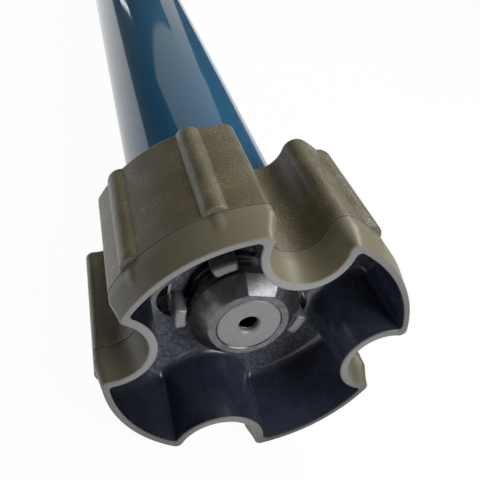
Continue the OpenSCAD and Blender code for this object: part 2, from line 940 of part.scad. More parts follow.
// Rotor shaft with the first stage's sun gear cut on its end
module rotor_shaft() {
  color([0.72, 0.73, 0.75])
    union() {
      along_axis(first_planet_y + end_float / 2)
        linear_extrude(height = first_face)
          gear_outline(sun_teeth, gear_module, addendum, dedendum, tooth_thin);
      ring(sun_end_y, rear_bell_y + bearing_w + 1, rotor_shaft_r);
    }
}

// Laminated rotor core
module rotor_core() {
  color([0.5, 0.51, 0.55])
    ring(stator_y, stator_back_y, rotor_r, rotor_shaft_r + seat_fit / 2);
}

// Cast end rings of the rotor cage
module rotor_end_rings() {
  color([0.75, 0.76, 0.78])
    for (y = [stator_y - end_ring_len, stator_back_y])
      ring(y, y + end_ring_len, cage_r, rotor_shaft_r + 2);
}

// Run capacitor
module run_capacitor() {
  color([0.85, 0.85, 0.82])
    ring(capacitor_y, capacitor_y + capacitor_len, capacitor_r);
}

// Two plastic cups that hold the capacitor in the tube
module capacitor_holders() {
  color([0.12, 0.12, 0.12]) {
    difference() {
      ring(holder_y, holder_y + holder_len, seat_r, capacitor_r / 2);
      ring(capacitor_y, holder_y + holder_len + eps, capacitor_r + seat_fit);
    }
    difference() {
      ring(rear_holder_y, tray_y, seat_r, capacitor_r / 2);
      ring(rear_holder_y - eps, capacitor_y + capacitor_len, capacitor_r + seat_fit);
    }
  }
}

// Half tube with end walls, from the axis plane down
module half_shell(y0, y1, outer, wall) {
  difference() {
    ring(y0, y1, outer);
    ring(y0 + wall, y1 - wall, outer - wall);
    translate([-outer - 1, y0 - 1, 0])
      cube([2 * outer + 2, y1 - y0 + 2, outer + 1]);
  }
}

// Lower half of the electronics housing, with ledges for the board
module electronics_tray() {
  ledge = 2.5;
  color([0.15, 0.15, 0.16])
    difference() {
      union() {
        half_shell(tray_y, tray_y + tray_len, seat_r, tray_wall);
        intersection() {
          ring(tray_y, tray_y + tray_len, seat_r - tray_wall / 2);
          for (side = [-1, 1])
            translate([side * (board_w / 2 - ledge / 2) - ledge / 2, tray_y, -bore_r])
              cube([ledge, tray_len, bore_r - board_drop]);
        }
      }
      ring(tray_y + tray_len - tray_wall - 1, tray_y + tray_len + 1, core_r);
    }
}

// Upper half of the electronics housing
module electronics_cover() {
  color([0.15, 0.15, 0.16])
    difference() {
      translate([0, 0, seat_fit])
        mirror([0, 0, 1])
          half_shell(tray_y, tray_y + tray_len, seat_r - seat_fit, tray_wall);
      ring(tray_y + tray_len - tray_wall - 1, tray_y + tray_len + 1, core_r);
    }
}

// Circuit board on the tray's ledges
module circuit_board() {
  color([0.05, 0.35, 0.2])
    translate([-board_w / 2, board_y, -board_drop])
      cube([board_w, board_len, board_t]);
}

// Block on the board: its middle across, its start along and its size are shares of the board's width,
// the board's length and the bore's radius
module on_board(across, along, size) {
  translate([(across - size[0] / 2) * board_w, board_y + along * board_len, board_top])
    cube([size[0] * board_w, size[1] * board_len, size[2] * seat_r]);
}

// Transformer of the power supply
module power_transformer() {
  color([0.75, 0.65, 0.2])
    on_board(0, 0.054, [0.65, 0.18, 0.7]);
}

// Two relays that switch the motor's two directions
module relays() {
  color([0.1, 0.25, 0.6])
    for (side = [-1, 1])
      on_board(side * 0.2, 0.3, [0.3, 0.17, 0.6]);
}

// Screwless terminals of the supply wires
module terminal_block() {
  color([0.15, 0.5, 0.2])
    on_board(0, 0.82, [0.6, 0.09, 0.46]);
}

// Radio receiver with its crystal
module radio_module() {
  color([0.1, 0.1, 0.3]) {
    on_board(0, 0.55, [0.47, 0.16, 0.056]);
    on_board(0, 0.75, [0.15, 0.045, 0.07]);
  }
}

// Die-cast head: spigot, crown neck and mounting flange
module head_casting() {
  color([0.2, 0.2, 0.21])
    difference() {
      union() {
        ring(head_y, tube_back_y + eps, seat_r);
        ring(tube_back_y, flange_y + eps, tube_r);
        ring(flange_y, head_back_y, head_r);
      }
      ring(head_y - eps, head_back_y - cover_t, core_r);
      ring(head_back_y - cover_t, head_back_y + eps, cover_r + seat_fit);
      difference() {
        ring(crown_ring_y, crown_ring_y + ring_t, tube_r + 1);
        ring(crown_ring_y - 1, crown_ring_y + ring_t + 1, tube_r - ring_groove_depth);
      }
      rivet_holes(tube_back_y - head_spigot_len / 2);
      for (a = lobe_middles)
        along_axis(head_back_y - mount_hole_depth)
          at_angle(a, mount_circle_r)
            cylinder(h = mount_hole_depth + eps, r = mount_hole_r);
      for (a = cover_screw_angles)
        along_axis(head_back_y - cover_t - screw_len - 1)
          at_angle(a, cover_screw_at)
            cylinder(h = screw_len + 2, r = cover_screw_r + seat_fit / 2);
      along_axis(head_y - eps)
        at_angle(encoder_angle, pinion_at)
          cylinder(h = pinion_y + pinion_w + 4 - head_y, r = encoder_shaft_r + run_fit);
      along_axis(pinion_y - end_float)
        at_angle(encoder_angle, pinion_at)
          cylinder(h = pinion_w + 2 * end_float, r = pinion_tip_r + end_float);
      radial(grommet_y, inlet_angle, core_r - 1, head_r + 1, grommet_r + seat_fit);
      radial(grommet_y, 0, switch_floor_r, head_r + 1, button_r + run_fit);
      radial(grommet_y, light_angle, head_r - 6, head_r + 1, light_r + seat_fit / 2);
    }
}

// Rivets that hold the tube on the head
module head_rivets() {
  color([0.6, 0.6, 0.62])
    rivets(tube_back_y - head_spigot_len / 2, rivet_r);
}

// Cover over the head's core
module head_cover() {
  color([0.14, 0.14, 0.15])
    difference() {
      ring(head_back_y - cover_t, head_back_y, cover_r);
      for (a = cover_screw_angles) {
        along_axis(head_back_y - cover_t - eps)
          at_angle(a, cover_screw_at)
            cylinder(h = cover_t, r = cover_screw_r + seat_fit);
        along_axis(screw_head_y)
          at_angle(a, cover_screw_at)
            cylinder(h = screw_head_h + eps, r = screw_head_r + seat_fit);
      }
    }
}

// Screws of the head's cover
module cover_screws() {
  color([0.7, 0.7, 0.72])
    for (a = cover_screw_angles)
      union() {
        along_axis(head_back_y - cover_t - screw_len)
          at_angle(a, cover_screw_at)
            cylinder(h = cover_t + screw_len - screw_head_h + eps, r = cover_screw_r);
        along_axis(screw_head_y)
          at_angle(a, cover_screw_at)
            difference() {
              cylinder(h = screw_head_h - run_fit, r = screw_head_r);
              translate([-screw_slot / 2, -2 * screw_head_r, screw_head_h / 2])
                cube([screw_slot, 4 * screw_head_r, screw_head_h]);
            }
      }
}

// Rubber grommet of the cable inlet
module cable_grommet() {
  color([0.08, 0.08, 0.08])
    difference() {
      union() {
        radial(grommet_y, inlet_angle, core_r + 1, head_r - 0.5, grommet_r);
        radial(grommet_y, inlet_angle, head_r, head_r + 1.2, grommet_r + 1.4);
        radial(grommet_y, inlet_angle, head_r - 0.5 - eps, head_r + 0.1, grommet_r);
      }
      radial(grommet_y, inlet_angle, core_r, head_r + 2, cable_r);
    }
}

// Setting button in the flange's rim
module setting_button() {
  color([0.75, 0.2, 0.15])
    radial(grommet_y, 0, head_r + button_rise - button_len, head_r + button_rise, button_r);
}

// Switch under the setting button
module button_switch() {
  color([0.2, 0.2, 0.22])
    union() {
      translate([-switch_side / 2, grommet_y - switch_side / 2, switch_floor_r])
        cube([switch_side, switch_side, 3]);
      radial(grommet_y, 0, switch_floor_r + 3 - eps, switch_top_r, 1.5);
    }
}

// Light pipe of the status light
module status_light() {
  color([0.9, 0.95, 0.9])
    radial(grommet_y, light_angle, head_r - 6, head_r, light_r);
}

// Crown that the roller tube turns on the head's neck
module limit_crown() {
  color([0.12, 0.12, 0.12])
    difference() {
      ring(crown_y, crown_back_y, crown_r, tube_r + run_fit);
      along_axis(track_y)
        rotate([0, 0, encoder_angle])
          linear_extrude(height = track_w)
            gear_outline(crown_teeth, crown_module, dedendum, ring_addendum, -tooth_thin);
    }
}

// Ring that keeps the crown on the neck
module crown_retaining_ring() {
  color([0.3, 0.3, 0.32])
    ring(crown_ring_y + eps, crown_ring_y + ring_t - eps, tube_r + ring_rise,
      tube_r - ring_groove_depth + seat_fit);
}

// Adapter on the crown, with the lip that stops the roller tube
module crown_adapter() {
  hub_out = crown_r + seat_fit + hub_wall;
  color([0.24, 0.23, 0.2])
    difference() {
      union() {
        ring(crown_adapter_y, crown_back_y, body_r);
        along_axis(crown_adapter_y + rib_end)
          ribs(crown_adapter_len - 2 * rib_end, [0, 0, 0, 0]);
        along_axis(crown_back_y)
          for (lobe = lobe_middles)
            rotate(lobe - quarter - rib_angle / 2)
              rotate_extrude(angle = rib_angle)
                translate([hub_out, 0])
                  square([lip_r - hub_out, lip_t]);
      }
      along_axis(crown_adapter_y - 1)
        linear_extrude(height = crown_adapter_len - floor_t + 1)
          difference() {
            circle(r = adapter_r - lobe_wall);
            circle(r = hub_out);
            crown_notches(notch_wall);
          }
      along_axis(crown_adapter_y - 1)
        linear_extrude(height = crown_adapter_len + 2)
          crown_notches(0);
      ring(crown_adapter_y - 1, crown_back_y + lip_t + 1, crown_r + seat_fit);
    }
}

// Outlines of the crown adapter's four notches
module crown_notches(grow) {
  for (k = [0:3])
    at_angle(k * quarter, body_r)
      circle(r = crown_notch_r + grow);
}

// Pinion that the crown turns, on the encoder's shaft with its magnet
module encoder_pinion() {
  color([0.85, 0.82, 0.7])
    translate([0, 0, -pinion_at])
      union() {
        along_axis(pinion_y)
          rotate([0, 0, encoder_angle])
            linear_extrude(height = pinion_w)
              gear_outline(pinion_teeth, crown_module, addendum, dedendum, tooth_thin);
        ring(head_y + 2, pinion_y + pinion_w + 3, encoder_shaft_r);
      }
}

drive_adapter();
output_shaft();
shaft_end_disc();
shaft_retaining_ring();
output_carrier();
output_planet_pins();
output_planet(0);  // output_planet_1
output_planet(1);  // output_planet_2
output_planet(2);  // output_planet_3
output_sun();
first_carrier();
first_planet_pins();
first_planet(0);  // first_planet_1
first_planet(1);  // first_planet_2
first_planet(2);  // first_planet_3
motor_tube();
output_end_cap();
cap_rivets();
front_bush();
rear_bush();
shaft_seal();
gearbox_housing();
gearbox_cover();
brake_housing();
brake_lining();
brake_disc();
brake_armature();
brake_spring();
brake_guide_pins();
front_end_bell();
rear_end_bell();
bearing_outer_rings();
bearing_inner_rings();
bearing_balls();
stator_core();
stator_winding();
rotor_shaft();
rotor_core();
rotor_end_rings();
run_capacitor();
capacitor_holders();
electronics_tray();
electronics_cover();
circuit_board();
power_transformer();
relays();
terminal_block();
radio_module();
head_casting();
head_rivets();
head_cover();
cover_screws();
cable_grommet();
setting_button();
button_switch();
status_light();
limit_crown();
crown_retaining_ring();
crown_adapter();
encoder_pinion();
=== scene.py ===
"""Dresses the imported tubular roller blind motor: shapes, finishes, light and camera.

Lengths are written in millimetres and angles in degrees, counted from +Z towards +X about the motor's axis,
which is +Y. The surfaces are grids of points that numpy works out, and a mesh gets them in metres.
"""
import logging
import math
from dataclasses import dataclass, field
from enum import Enum
from typing import Any, Mapping, Sequence

import bmesh
import bpy
import numpy as np
from mathutils import Matrix, Vector


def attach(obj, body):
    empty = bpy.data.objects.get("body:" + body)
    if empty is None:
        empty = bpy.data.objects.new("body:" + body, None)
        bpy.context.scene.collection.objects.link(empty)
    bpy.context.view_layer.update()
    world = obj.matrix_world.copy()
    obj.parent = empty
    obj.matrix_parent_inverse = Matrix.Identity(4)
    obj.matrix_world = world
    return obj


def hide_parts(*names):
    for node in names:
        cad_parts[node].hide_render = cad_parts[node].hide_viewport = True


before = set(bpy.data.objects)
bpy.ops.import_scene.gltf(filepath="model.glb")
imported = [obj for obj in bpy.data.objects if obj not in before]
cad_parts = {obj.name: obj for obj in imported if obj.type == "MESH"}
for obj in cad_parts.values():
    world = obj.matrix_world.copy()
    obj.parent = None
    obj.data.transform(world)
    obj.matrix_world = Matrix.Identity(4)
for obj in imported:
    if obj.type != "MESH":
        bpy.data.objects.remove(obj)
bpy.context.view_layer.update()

Triple = tuple[float, float, float]
Colour = Triple
Number = Any
Table = dict[str, np.ndarray]

LOG = logging.getLogger("roller_motor")
MM = 0.001
# Point that the lamps face.
AIM = (0.0, 40.0, 0.0)
# Angles of the lobes between the notches.
DIAGONALS = (45, 135, 225, 315)
# Angles between two faces from which the edge between them is sharp.
CREASE = 30.0
SOFT_CREASE = 32.0
FINE_CREASE = 25.0
FACET_CREASE = 12.0
# Names of the values that the adapters' meshes carry for their finish.
MARKS = ("inside", "front", "rim", "floor")
UNTURNED = np.eye(3)
WHITE = (1.0, 1.0, 1.0)
BLACK = (0.0, 0.0, 0.0)
WARM = (1.0, 0.94, 0.78)
DUST = (0.55, 0.56, 0.58)
SOLDER = (0.6, 0.6, 0.58)


class Body(Enum):
    """Bodies of the frame that new pieces ride on."""

    MOTOR = "motor"
    DRIVE = "drive"
    CROWN = "crown"
    BUTTON = "button"


class Slot(Enum):
    """Material slots of the record."""

    ADAPTER_PLASTIC = "adapter_plastic"
    SHAFT_STEEL = "shaft_steel"
    DISC_STEEL = "disc_steel"
    BLUE_PAINT = "blue_paint"
    DIE_CAST = "die_cast"
    HARDENED_STEEL = "hardened_steel"
    BLACK_CASTING = "black_casting"
    BLACK_PLASTIC = "black_plastic"
    BLACK_RUBBER = "black_rubber"
    BUTTON_RED = "button_red"
    LIGHT_CLEAR = "light_clear"
    SPRING_STEEL = "spring_steel"
    COPPER = "copper"
    LAMINATIONS = "laminations"
    CAPACITOR_WHITE = "capacitor_white"
    RELAY_BLUE = "relay_blue"
    COIL_YELLOW = "coil_yellow"


class Direction(Enum):
    """Which part of a rounded edge is walked first: along the axis or across it."""

    ALONG = "along"
    ACROSS = "across"


class Wire:
    """An output socket on which arithmetic can be written as on a number."""

    def __init__(self, graph: "Graph", socket: bpy.types.NodeSocket) -> None:
        """Keeps the graph that new nodes go to and the socket."""
        self.graph = graph
        self.socket = socket

    def _math(self, operation: str, first: Number, second: Number) -> "Wire":
        """Adds one Math node."""
        return self.graph.node("ShaderNodeMath", {"operation": operation}, {0: first, 1: second})

    def __add__(self, other: Number) -> "Wire":
        """Sum."""
        return self._math("ADD", self, other)

    def __radd__(self, other: Number) -> "Wire":
        """Sum with a number on the left."""
        return self._math("ADD", other, self)

    def __sub__(self, other: Number) -> "Wire":
        """Difference."""
        return self._math("SUBTRACT", self, other)

    def __rsub__(self, other: Number) -> "Wire":
        """Difference with a number on the left."""
        return self._math("SUBTRACT", other, self)

    def __mul__(self, other: Number) -> "Wire":
        """Product."""
        return self._math("MULTIPLY", self, other)

    def __rmul__(self, other: Number) -> "Wire":
        """Product with a number on the left."""
        return self._math("MULTIPLY", other, self)

    def larger(self, other: Number) -> "Wire":
        """The larger of two values."""
        return self._math("MAXIMUM", self, other)

    def sine(self) -> "Wire":
        """Sine of the value."""
        return self._math("SINE", self, 0.0)

    def step(self, low: float, high: float) -> "Wire":
        """Smooth step from 0 at low to 1 at high."""
        limits = {0: self, 1: low, 2: high, 3: 0.0, 4: 1.0}
        return self.graph.node("ShaderNodeMapRange", {"interpolation_type": "SMOOTHSTEP"}, limits)

    def spread(self, first: Number, last: Number) -> "Wire":
        """Value that goes from first to last as this one goes from 0 to 1."""
        return self.graph.node("ShaderNodeMapRange", {}, {0: self, 3: first, 4: last})


class Graph:
    """Node tree of a material or of the world, with the method that adds every node."""

    def __init__(self, owner: bpy.types.Material | bpy.types.World, shader: str = "Principled BSDF") -> None:
        """Opens the owner's nodes.

        Args:
            owner: Material or world.
            shader: Name of its shader node.
        """
        owner.use_nodes = True
        self.owner = owner
        self.tree = owner.node_tree
        self.shader = self.tree.nodes[shader]

    def node(
        self, kind: str, settings: Mapping[str, Any], inputs: Mapping[int | str, Number],
        output: int | str = 0,
    ) -> Wire:
        """Adds a node.

        Args:
            kind: Node type.
            settings: Properties, which are set first.
            inputs: Numbers, colours or wires for the sockets, by index or name.
            output: Index or name of the output that is returned.

        Returns:
            The node's output.
        """
        made = self.tree.nodes.new(kind)
        for key, value in settings.items():
            setattr(made, key, value)
        for key, value in inputs.items():
            self._feed(made.inputs[key], value)
        return Wire(self, made.outputs[output])

    def _feed(self, socket: bpy.types.NodeSocket, value: Number) -> None:
        """Links a wire to a socket, or sets its value.

        Args:
            socket: Socket to feed.
            value: Number, colour or wire.
        """
        if isinstance(value, Wire):
            self.tree.links.new(value.socket, socket)
        elif socket.type == "RGBA":
            socket.default_value = (*value, 1.0)
        else:
            socket.default_value = value

    def set(self, **values: Number) -> None:
        """Feeds the shader's sockets, whose names have _ for a space here."""
        for name, value in values.items():
            self._feed(self.shader.inputs[name.replace("_", " ")], value)

    def place(self) -> Wire:
        """Object coordinates, in metres."""
        return self.node("ShaderNodeTexCoord", {}, {}, "Object")

    def axes(self) -> tuple[Wire, Wire, Wire]:
        """Splits the object coordinates.

        Returns:
            X, Y and Z, in millimetres.
        """
        source = self.place()
        split = [self.node("ShaderNodeSeparateXYZ", {}, {0: source}, axis) for axis in range(3)]
        return tuple(wire * (1 / MM) for wire in split)

    def noise(self, size: float, detail: float = 2.0, rough: float = 0.5) -> Wire:
        """Noise about 0.5, with spots about size millimetres wide and detail octaves of finer noise."""
        inputs = {"Vector": self.place(), "Scale": 1 / (size * MM), "Detail": detail, "Roughness": rough}
        return self.node("ShaderNodeTexNoise", {}, inputs)

    def cells(self, size: float) -> Wire:
        """Distance to the nearest of scattered points about size millimetres apart, from 0 to 1."""
        return self.node("ShaderNodeTexVoronoi", {}, {"Vector": self.place(), "Scale": 1 / (size * MM)})

    def mark(self, name: str) -> Wire:
        """Value that the mesh carries at its points under that name."""
        return self.node("ShaderNodeAttribute", {"attribute_name": name}, {}, "Fac")

    def ray(self, kind: str) -> Wire:
        """1 for rays of one kind, such as Is Camera Ray, and 0 for others."""
        return self.node("ShaderNodeLightPath", {}, {}, kind)

    def mix(self, share: Number, first: Number, second: Number) -> Wire:
        """Colour that goes from first to second as share goes from 0 to 1."""
        return self.node("ShaderNodeMix", {"data_type": "RGBA"}, {0: share, 6: first, 7: second}, 2)

    def bump(self, height: Wire, depth: float) -> Wire:
        """Normal of a relief: height times depth, in millimetres."""
        return self.node("ShaderNodeBump", {}, {"Strength": 1.0, "Distance": depth * MM, "Height": height})


def scaled(colour: Colour, factor: float) -> Colour:
    """A colour made darker or lighter."""
    return tuple(factor * part for part in colour)


@dataclass(frozen=True)
class Finish:
    """A finish of one colour family with mottling, grain, fine lines and specks.

    Attributes:
        name: Material name.
        colour: Main colour.
        shade: Colour of the mottled patches.
        metallic: Metallic share.
        roughness: Mean roughness.
        spread: Change of roughness over the patches.
        patch: Width of the patches.
        grain: Width of the grain.
        depth: Depth of the grain.
        line: Spacing of fine lines across the axis, or 0.
        line_depth: Depth of those lines.
        specks: Share of the surface under pale specks.
        speck_size: Spacing of the specks.
        coat: Weight of a clear coat.
        coat_roughness: Roughness of that coat.
        coat_ior: Refraction of that coat.
        specular: Specular level.
    """

    name: str
    colour: Colour
    shade: Colour
    metallic: float = 0.0
    roughness: float = 0.45
    spread: float = 0.12
    patch: float = 6.0
    grain: float = 0.5
    depth: float = 0.02
    line: float = 0.0
    line_depth: float = 0.01
    specks: float = 0.0
    speck_size: float = 0.9
    coat: float = 0.0
    coat_roughness: float = 0.08
    coat_ior: float = 1.5
    specular: float = 0.5

    def material(self) -> bpy.types.Material:
        """Makes the finish's material at its first use.

        Returns:
            The material.
        """
        if self.name not in bpy.data.materials:
            self.lay(Graph(bpy.data.materials.new(self.name)))
        return bpy.data.materials[self.name]

    def lay(self, graph: Graph) -> None:
        """Lays the finish's nodes in a graph.

        Args:
            graph: Graph of the new material.
        """
        patches = graph.noise(self.patch, 3.0)
        grain = graph.noise(self.grain, 2.0)
        colour = graph.mix((patches * 1.6 - 0.3).step(0.0, 1.0), self.colour, self.shade)
        height = grain
        roughness = (patches - 0.5) * (2 * self.spread) + self.roughness + (grain - 0.5) * self.spread
        if self.line:
            lines = (graph.axes()[1] * (2 * math.pi / self.line)).sine() * 0.5 + 0.5
            height = height * self.depth + lines * self.line_depth
            height = height * (1 / max(self.depth, self.line_depth))
            colour = graph.mix(lines * 0.25, colour, self.shade)
        if self.specks:
            dust = self.dust(graph)
            colour = graph.mix(dust * 0.6, colour, DUST)
            roughness = roughness + dust * 0.25
        # Painted shade: nearly black where the mark hollow is set, such as in the shaft's screw hole.
        graph.set(
            Base_Color=graph.mix(graph.mark("hollow"), colour, scaled(self.shade, 0.06)),
            Roughness=roughness,
            Normal=graph.bump(height, max(self.depth, self.line_depth if self.line else 0.0)),
            Metallic=self.metallic,
            Specular_IOR_Level=self.specular,
            Coat_Weight=self.coat,
            Coat_Roughness=self.coat_roughness,
            Coat_IOR=self.coat_ior,
        )

    def dust(self, graph: Graph) -> Wire:
        """Share of pale specks: the middles of scattered cells, where a wider noise lets them show."""
        points = 1 - graph.cells(self.speck_size).step(0.08, 0.24)
        return points * graph.noise(5 * self.speck_size, 3.0).step(0.62 - self.specks, 0.72 - self.specks)


@dataclass(frozen=True)
class Fade:
    """Share that changes with the place: level + across x + up z + outwards (x x + z z), in millimetres.

    Attributes:
        level: Share on the axis.
        across: Change to the right.
        up: Change upwards.
        outwards: Change with the square of the radius.
    """

    level: float
    across: float
    up: float = 0.0
    outwards: float = 0.0

    def share(self, across: Wire, up: Wire) -> Wire:
        """The share at the place x and z."""
        return across * self.across + up * self.up + (across * across + up * up) * self.outwards + self.level


@dataclass(frozen=True)
class MouldedFinish(Finish):
    """Nylon of the adapters: grained behind the parting line, smooth in front, darker and dusty inside.

    The mesh carries the marks inside, front, rim, floor and hollow; hollow paints shade nearly black. As
    painted light and shade, the front band and the rim are paler towards the top, and the cup's walls darker
    on their left.
    """

    front: Colour = (0.19, 0.168, 0.106)
    inside: Colour = (0.02, 0.0245, 0.04)
    rim: Colour = (0.3, 0.3, 0.3)
    floor: Colour = (0.17, 0.18, 0.23)
    # Nearly black colour of the painted shade in the hollows and windows.
    hollow: Colour = (0.003, 0.003, 0.004)
    # Painted highlights: colour of the grain's tops and of scattered bright specks.
    painted_grain_tops: Colour = (0.2, 0.17, 0.11)
    painted_glint: Colour = (0.42, 0.36, 0.25)
    powder: Colour = (0.5, 0.51, 0.54)
    # Painted light and shade: the front band and the rim are darker towards the bottom, the cup's walls
    # towards the left.
    band_painted_light: Fade = Fade(0.6, 0.006, 0.03, -0.0005)
    wall_lit: Fade = Fade(0.55, 0.016)
    rim_painted_light: Fade = Fade(0.88, -0.0035, 0.0065, -0.0004)

    def lay(self, graph: Graph) -> None:
        """Lays the finish's nodes in a graph.

        Args:
            graph: Graph of the new material.
        """
        inside, front = graph.mark("inside"), graph.mark("front")
        rim, floor = graph.mark("rim"), graph.mark("floor")
        across, _, up = graph.axes()
        patches = graph.noise(self.patch, 4.0, rough=0.6)
        fine = graph.noise(self.grain, 3.0, rough=0.6)
        pits = graph.noise(2.4 * self.grain, 1.0)
        dust = self.dust(graph) * (inside * 0.1 + floor * 0.6)
        # Painted light and shade on the front band, the walls and the rim, from their place.
        painted_light = self.band_painted_light.share(across, up)
        colour = graph.mix(front, self.body(graph, patches, fine), self.band(graph, patches, painted_light))
        colour = graph.mix(inside, colour, self.walls(graph, patches, self.wall_lit.share(across, up)))
        mottles = graph.noise(1.1, 4.0, rough=0.7).step(0.38, 0.64)
        colour = graph.mix(floor, colour, graph.mix(mottles, scaled(self.floor, 0.45), self.floor))
        colour = graph.mix(dust, colour, self.powder)
        # Painted shade: nearly black where the mark hollow is set.
        colour = graph.mix(graph.mark("hollow"), colour, self.hollow)
        # The rim's colour, with painted shade that darkens it towards the bottom.
        colour = graph.mix(rim, colour, self.edge(graph, patches, self.rim_painted_light.share(across, up)))
        rough_side = 1 - front.step(0.2, 0.9)
        relief = (fine + pits * 0.8) * (rough_side * (1 - inside * 0.93) * 0.93 + 0.07)
        roughness = (patches - 0.5) * self.spread + self.roughness + front * 0.12 + dust * 0.3 - inside * 0.08
        graph.set(
            Base_Color=colour,
            Roughness=roughness + (fine - 0.5) * 0.16 * rough_side,
            Normal=graph.bump(relief, self.depth),
            Specular_IOR_Level=self.specular,
        )

    def body(self, graph: Graph, patches: Wire, fine: Wire) -> Wire:
        """Colours the grained body, with painted highlights: paler tops of the grain and scattered bright
        specks.

        Args:
            graph: Graph that the nodes go to.
            patches: Noise of the mottled patches.
            fine: Noise of the grain.

        Returns:
            The colour.
        """
        plain = graph.mix((patches * 1.8 - 0.4).step(0.0, 1.0), self.colour, self.shade)
        # Painted highlights: bright specks where two noises meet, and paler tops of the grain.
        points = graph.noise(0.75 * self.grain, 1.0).step(0.56, 0.7)
        painted_glints = points * graph.noise(7.0, 4.0, rough=0.6).step(0.42, 0.62)
        grained = graph.mix(fine.step(0.56, 0.7) * 0.4, plain, self.painted_grain_tops)
        return graph.mix(painted_glints * 0.95, grained, self.painted_glint)

    def band(self, graph: Graph, patches: Wire, painted_light: Wire) -> Wire:
        """Colour of the front band, with painted shade: half as bright where the share of light is low."""
        worn = graph.mix(patches, self.front, scaled(self.front, 0.82))
        return graph.mix(painted_light, scaled(self.front, 0.5), worn)

    def walls(self, graph: Graph, patches: Wire, lit: Wire) -> Wire:
        """Colour of the cup's walls, darker where they aren't lit."""
        plain = graph.mix(patches.step(0.35, 0.7), scaled(self.inside, 1.5), scaled(self.inside, 2.4))
        return graph.mix(lit, scaled(self.inside, 0.3), plain)

    def edge(self, graph: Graph, patches: Wire, painted_light: Wire) -> Wire:
        """Colour of the rim, with painted shade: darker where the share of light is low."""
        return graph.mix(painted_light, BLACK, graph.mix(patches, self.rim, scaled(self.rim, 0.9)))


@dataclass(frozen=True)
class BoardFinish(Finish):
    """Solder mask with copper tracks under it and tinned pads.

    Attributes:
        track_wave: Angle by which the long tracks' wave goes on in a millimetre, in radians.
        row_wave: The same for the short tracks.
        pad_wave: The same for the pads.
    """

    track_wave: float = 2.1
    row_wave: float = 3.4
    pad_wave: float = 2.47

    def lay(self, graph: Graph) -> None:
        """Lays the finish's nodes in a graph.

        Args:
            graph: Graph of the new material.
        """
        across, along, _ = graph.axes()
        wander = graph.noise(9.0, 1.0)
        tracks = ((along + wander * 9.0) * self.track_wave).sine().step(0.55, 0.75)
        tracks = tracks * graph.noise(14.0, 0.0).step(0.45, 0.5)
        rows = ((across + wander * 2.0) * self.row_wave).sine().step(0.7, 0.85)
        rows = rows * graph.noise(11.0, 0.0).step(0.5, 0.55)
        pads = ((across * self.pad_wave).sine() * (along * self.pad_wave).sine()).step(0.86, 0.92)
        colour = graph.mix(tracks * 0.7, self.colour, self.shade)
        colour = graph.mix(rows * 0.6, colour, self.shade)
        colour = graph.mix(pads, colour, SOLDER)
        graph.set(
            Base_Color=colour,
            Roughness=0.32 + pads * 0.1,
            Metallic=pads * 0.9,
            Normal=graph.bump(tracks + rows + pads * 0.6, 0.03),
        )


NYLON = MouldedFinish(
    "grained_nylon", (0.108, 0.089, 0.037), (0.072, 0.059, 0.025), roughness=0.33, grain=0.36, depth=0.12,
    patch=9.0, specks=0.12, speck_size=0.55, specular=0.82,
)
CAST_STEEL = Finish(
    "dull_cast_steel", (0.17, 0.178, 0.186), (0.1, 0.095, 0.102), metallic=0.8, roughness=0.27, spread=0.08,
    patch=2.5, grain=0.22, depth=0.018, specks=0.26, speck_size=0.34,
)
DISC_STEEL = Finish(
    "satin_steel_disc", (0.25, 0.255, 0.262), (0.22, 0.225, 0.232), metallic=0.3, roughness=0.5,
    spread=0.05, patch=5.0, grain=0.2, depth=0.006,
)
BLUE_PAINT = Finish(
    "glossy_blue_paint", (0.003, 0.095, 0.2), (0.002, 0.08, 0.175), roughness=0.4, spread=0.05, patch=30.0,
    grain=1.6, depth=0.003, coat=1.0, coat_roughness=0.07, specular=0.1,
)
BLACK_CAST = Finish(
    "blackened_die_cast", (0.02, 0.02, 0.022), (0.03, 0.03, 0.032), metallic=0.4, roughness=0.5, grain=0.3,
    depth=0.03,
)
POWDER_COAT = Finish(
    "black_powder_coat", (0.022, 0.022, 0.024), (0.03, 0.03, 0.032), roughness=0.42, grain=0.45,
    depth=0.035, specks=0.04, speck_size=0.7,
)
BRONZE = Finish(
    "sintered_bronze", (0.5, 0.32, 0.14), (0.36, 0.21, 0.09), metallic=0.9, roughness=0.42, grain=0.16,
    patch=1.5,
)
RUBBER = Finish(
    "matt_rubber", (0.018, 0.018, 0.018), (0.028, 0.028, 0.027), roughness=0.72, grain=0.3, specks=0.05,
)
BRIGHT_STEEL = Finish(
    "ground_steel", (0.6, 0.61, 0.62), (0.5, 0.51, 0.52), metallic=1.0, roughness=0.26, spread=0.06,
    patch=3.0, grain=0.15, depth=0.004, line=0.35, line_depth=0.003,
)
GEAR_STEEL = Finish(
    "oiled_gear_steel", (0.38, 0.38, 0.38), (0.26, 0.25, 0.24), metallic=1.0, roughness=0.34, patch=2.0,
    grain=0.2, depth=0.01, coat=0.5, coat_roughness=0.15,
)
BLACK_STEEL = Finish(
    "blackened_spring_steel", (0.09, 0.09, 0.1), (0.14, 0.13, 0.12), metallic=0.9, roughness=0.4, grain=0.2,
    depth=0.008, patch=2.0,
)
ACETAL = Finish(
    "natural_acetal", (0.66, 0.6, 0.45), (0.6, 0.53, 0.38), roughness=0.38, spread=0.06, grain=0.4,
    depth=0.006, patch=4.0,
)
FRICTION = Finish(
    "brake_lining", (0.16, 0.1, 0.06), (0.07, 0.05, 0.04), roughness=0.85, grain=0.25, depth=0.05,
    patch=0.9, specks=0.2, speck_size=0.5,
)
LAMINATIONS = Finish(
    "stacked_laminations", (0.3, 0.31, 0.34), (0.16, 0.16, 0.18), metallic=0.85, grain=0.4, depth=0.006,
    line=0.5, line_depth=0.04, patch=8.0,
)
COPPER = Finish(
    "enamelled_copper", (0.55, 0.2, 0.07), (0.36, 0.11, 0.035), metallic=0.9, roughness=0.3, grain=0.3,
    patch=1.2, coat=0.8, coat_roughness=0.1,
)
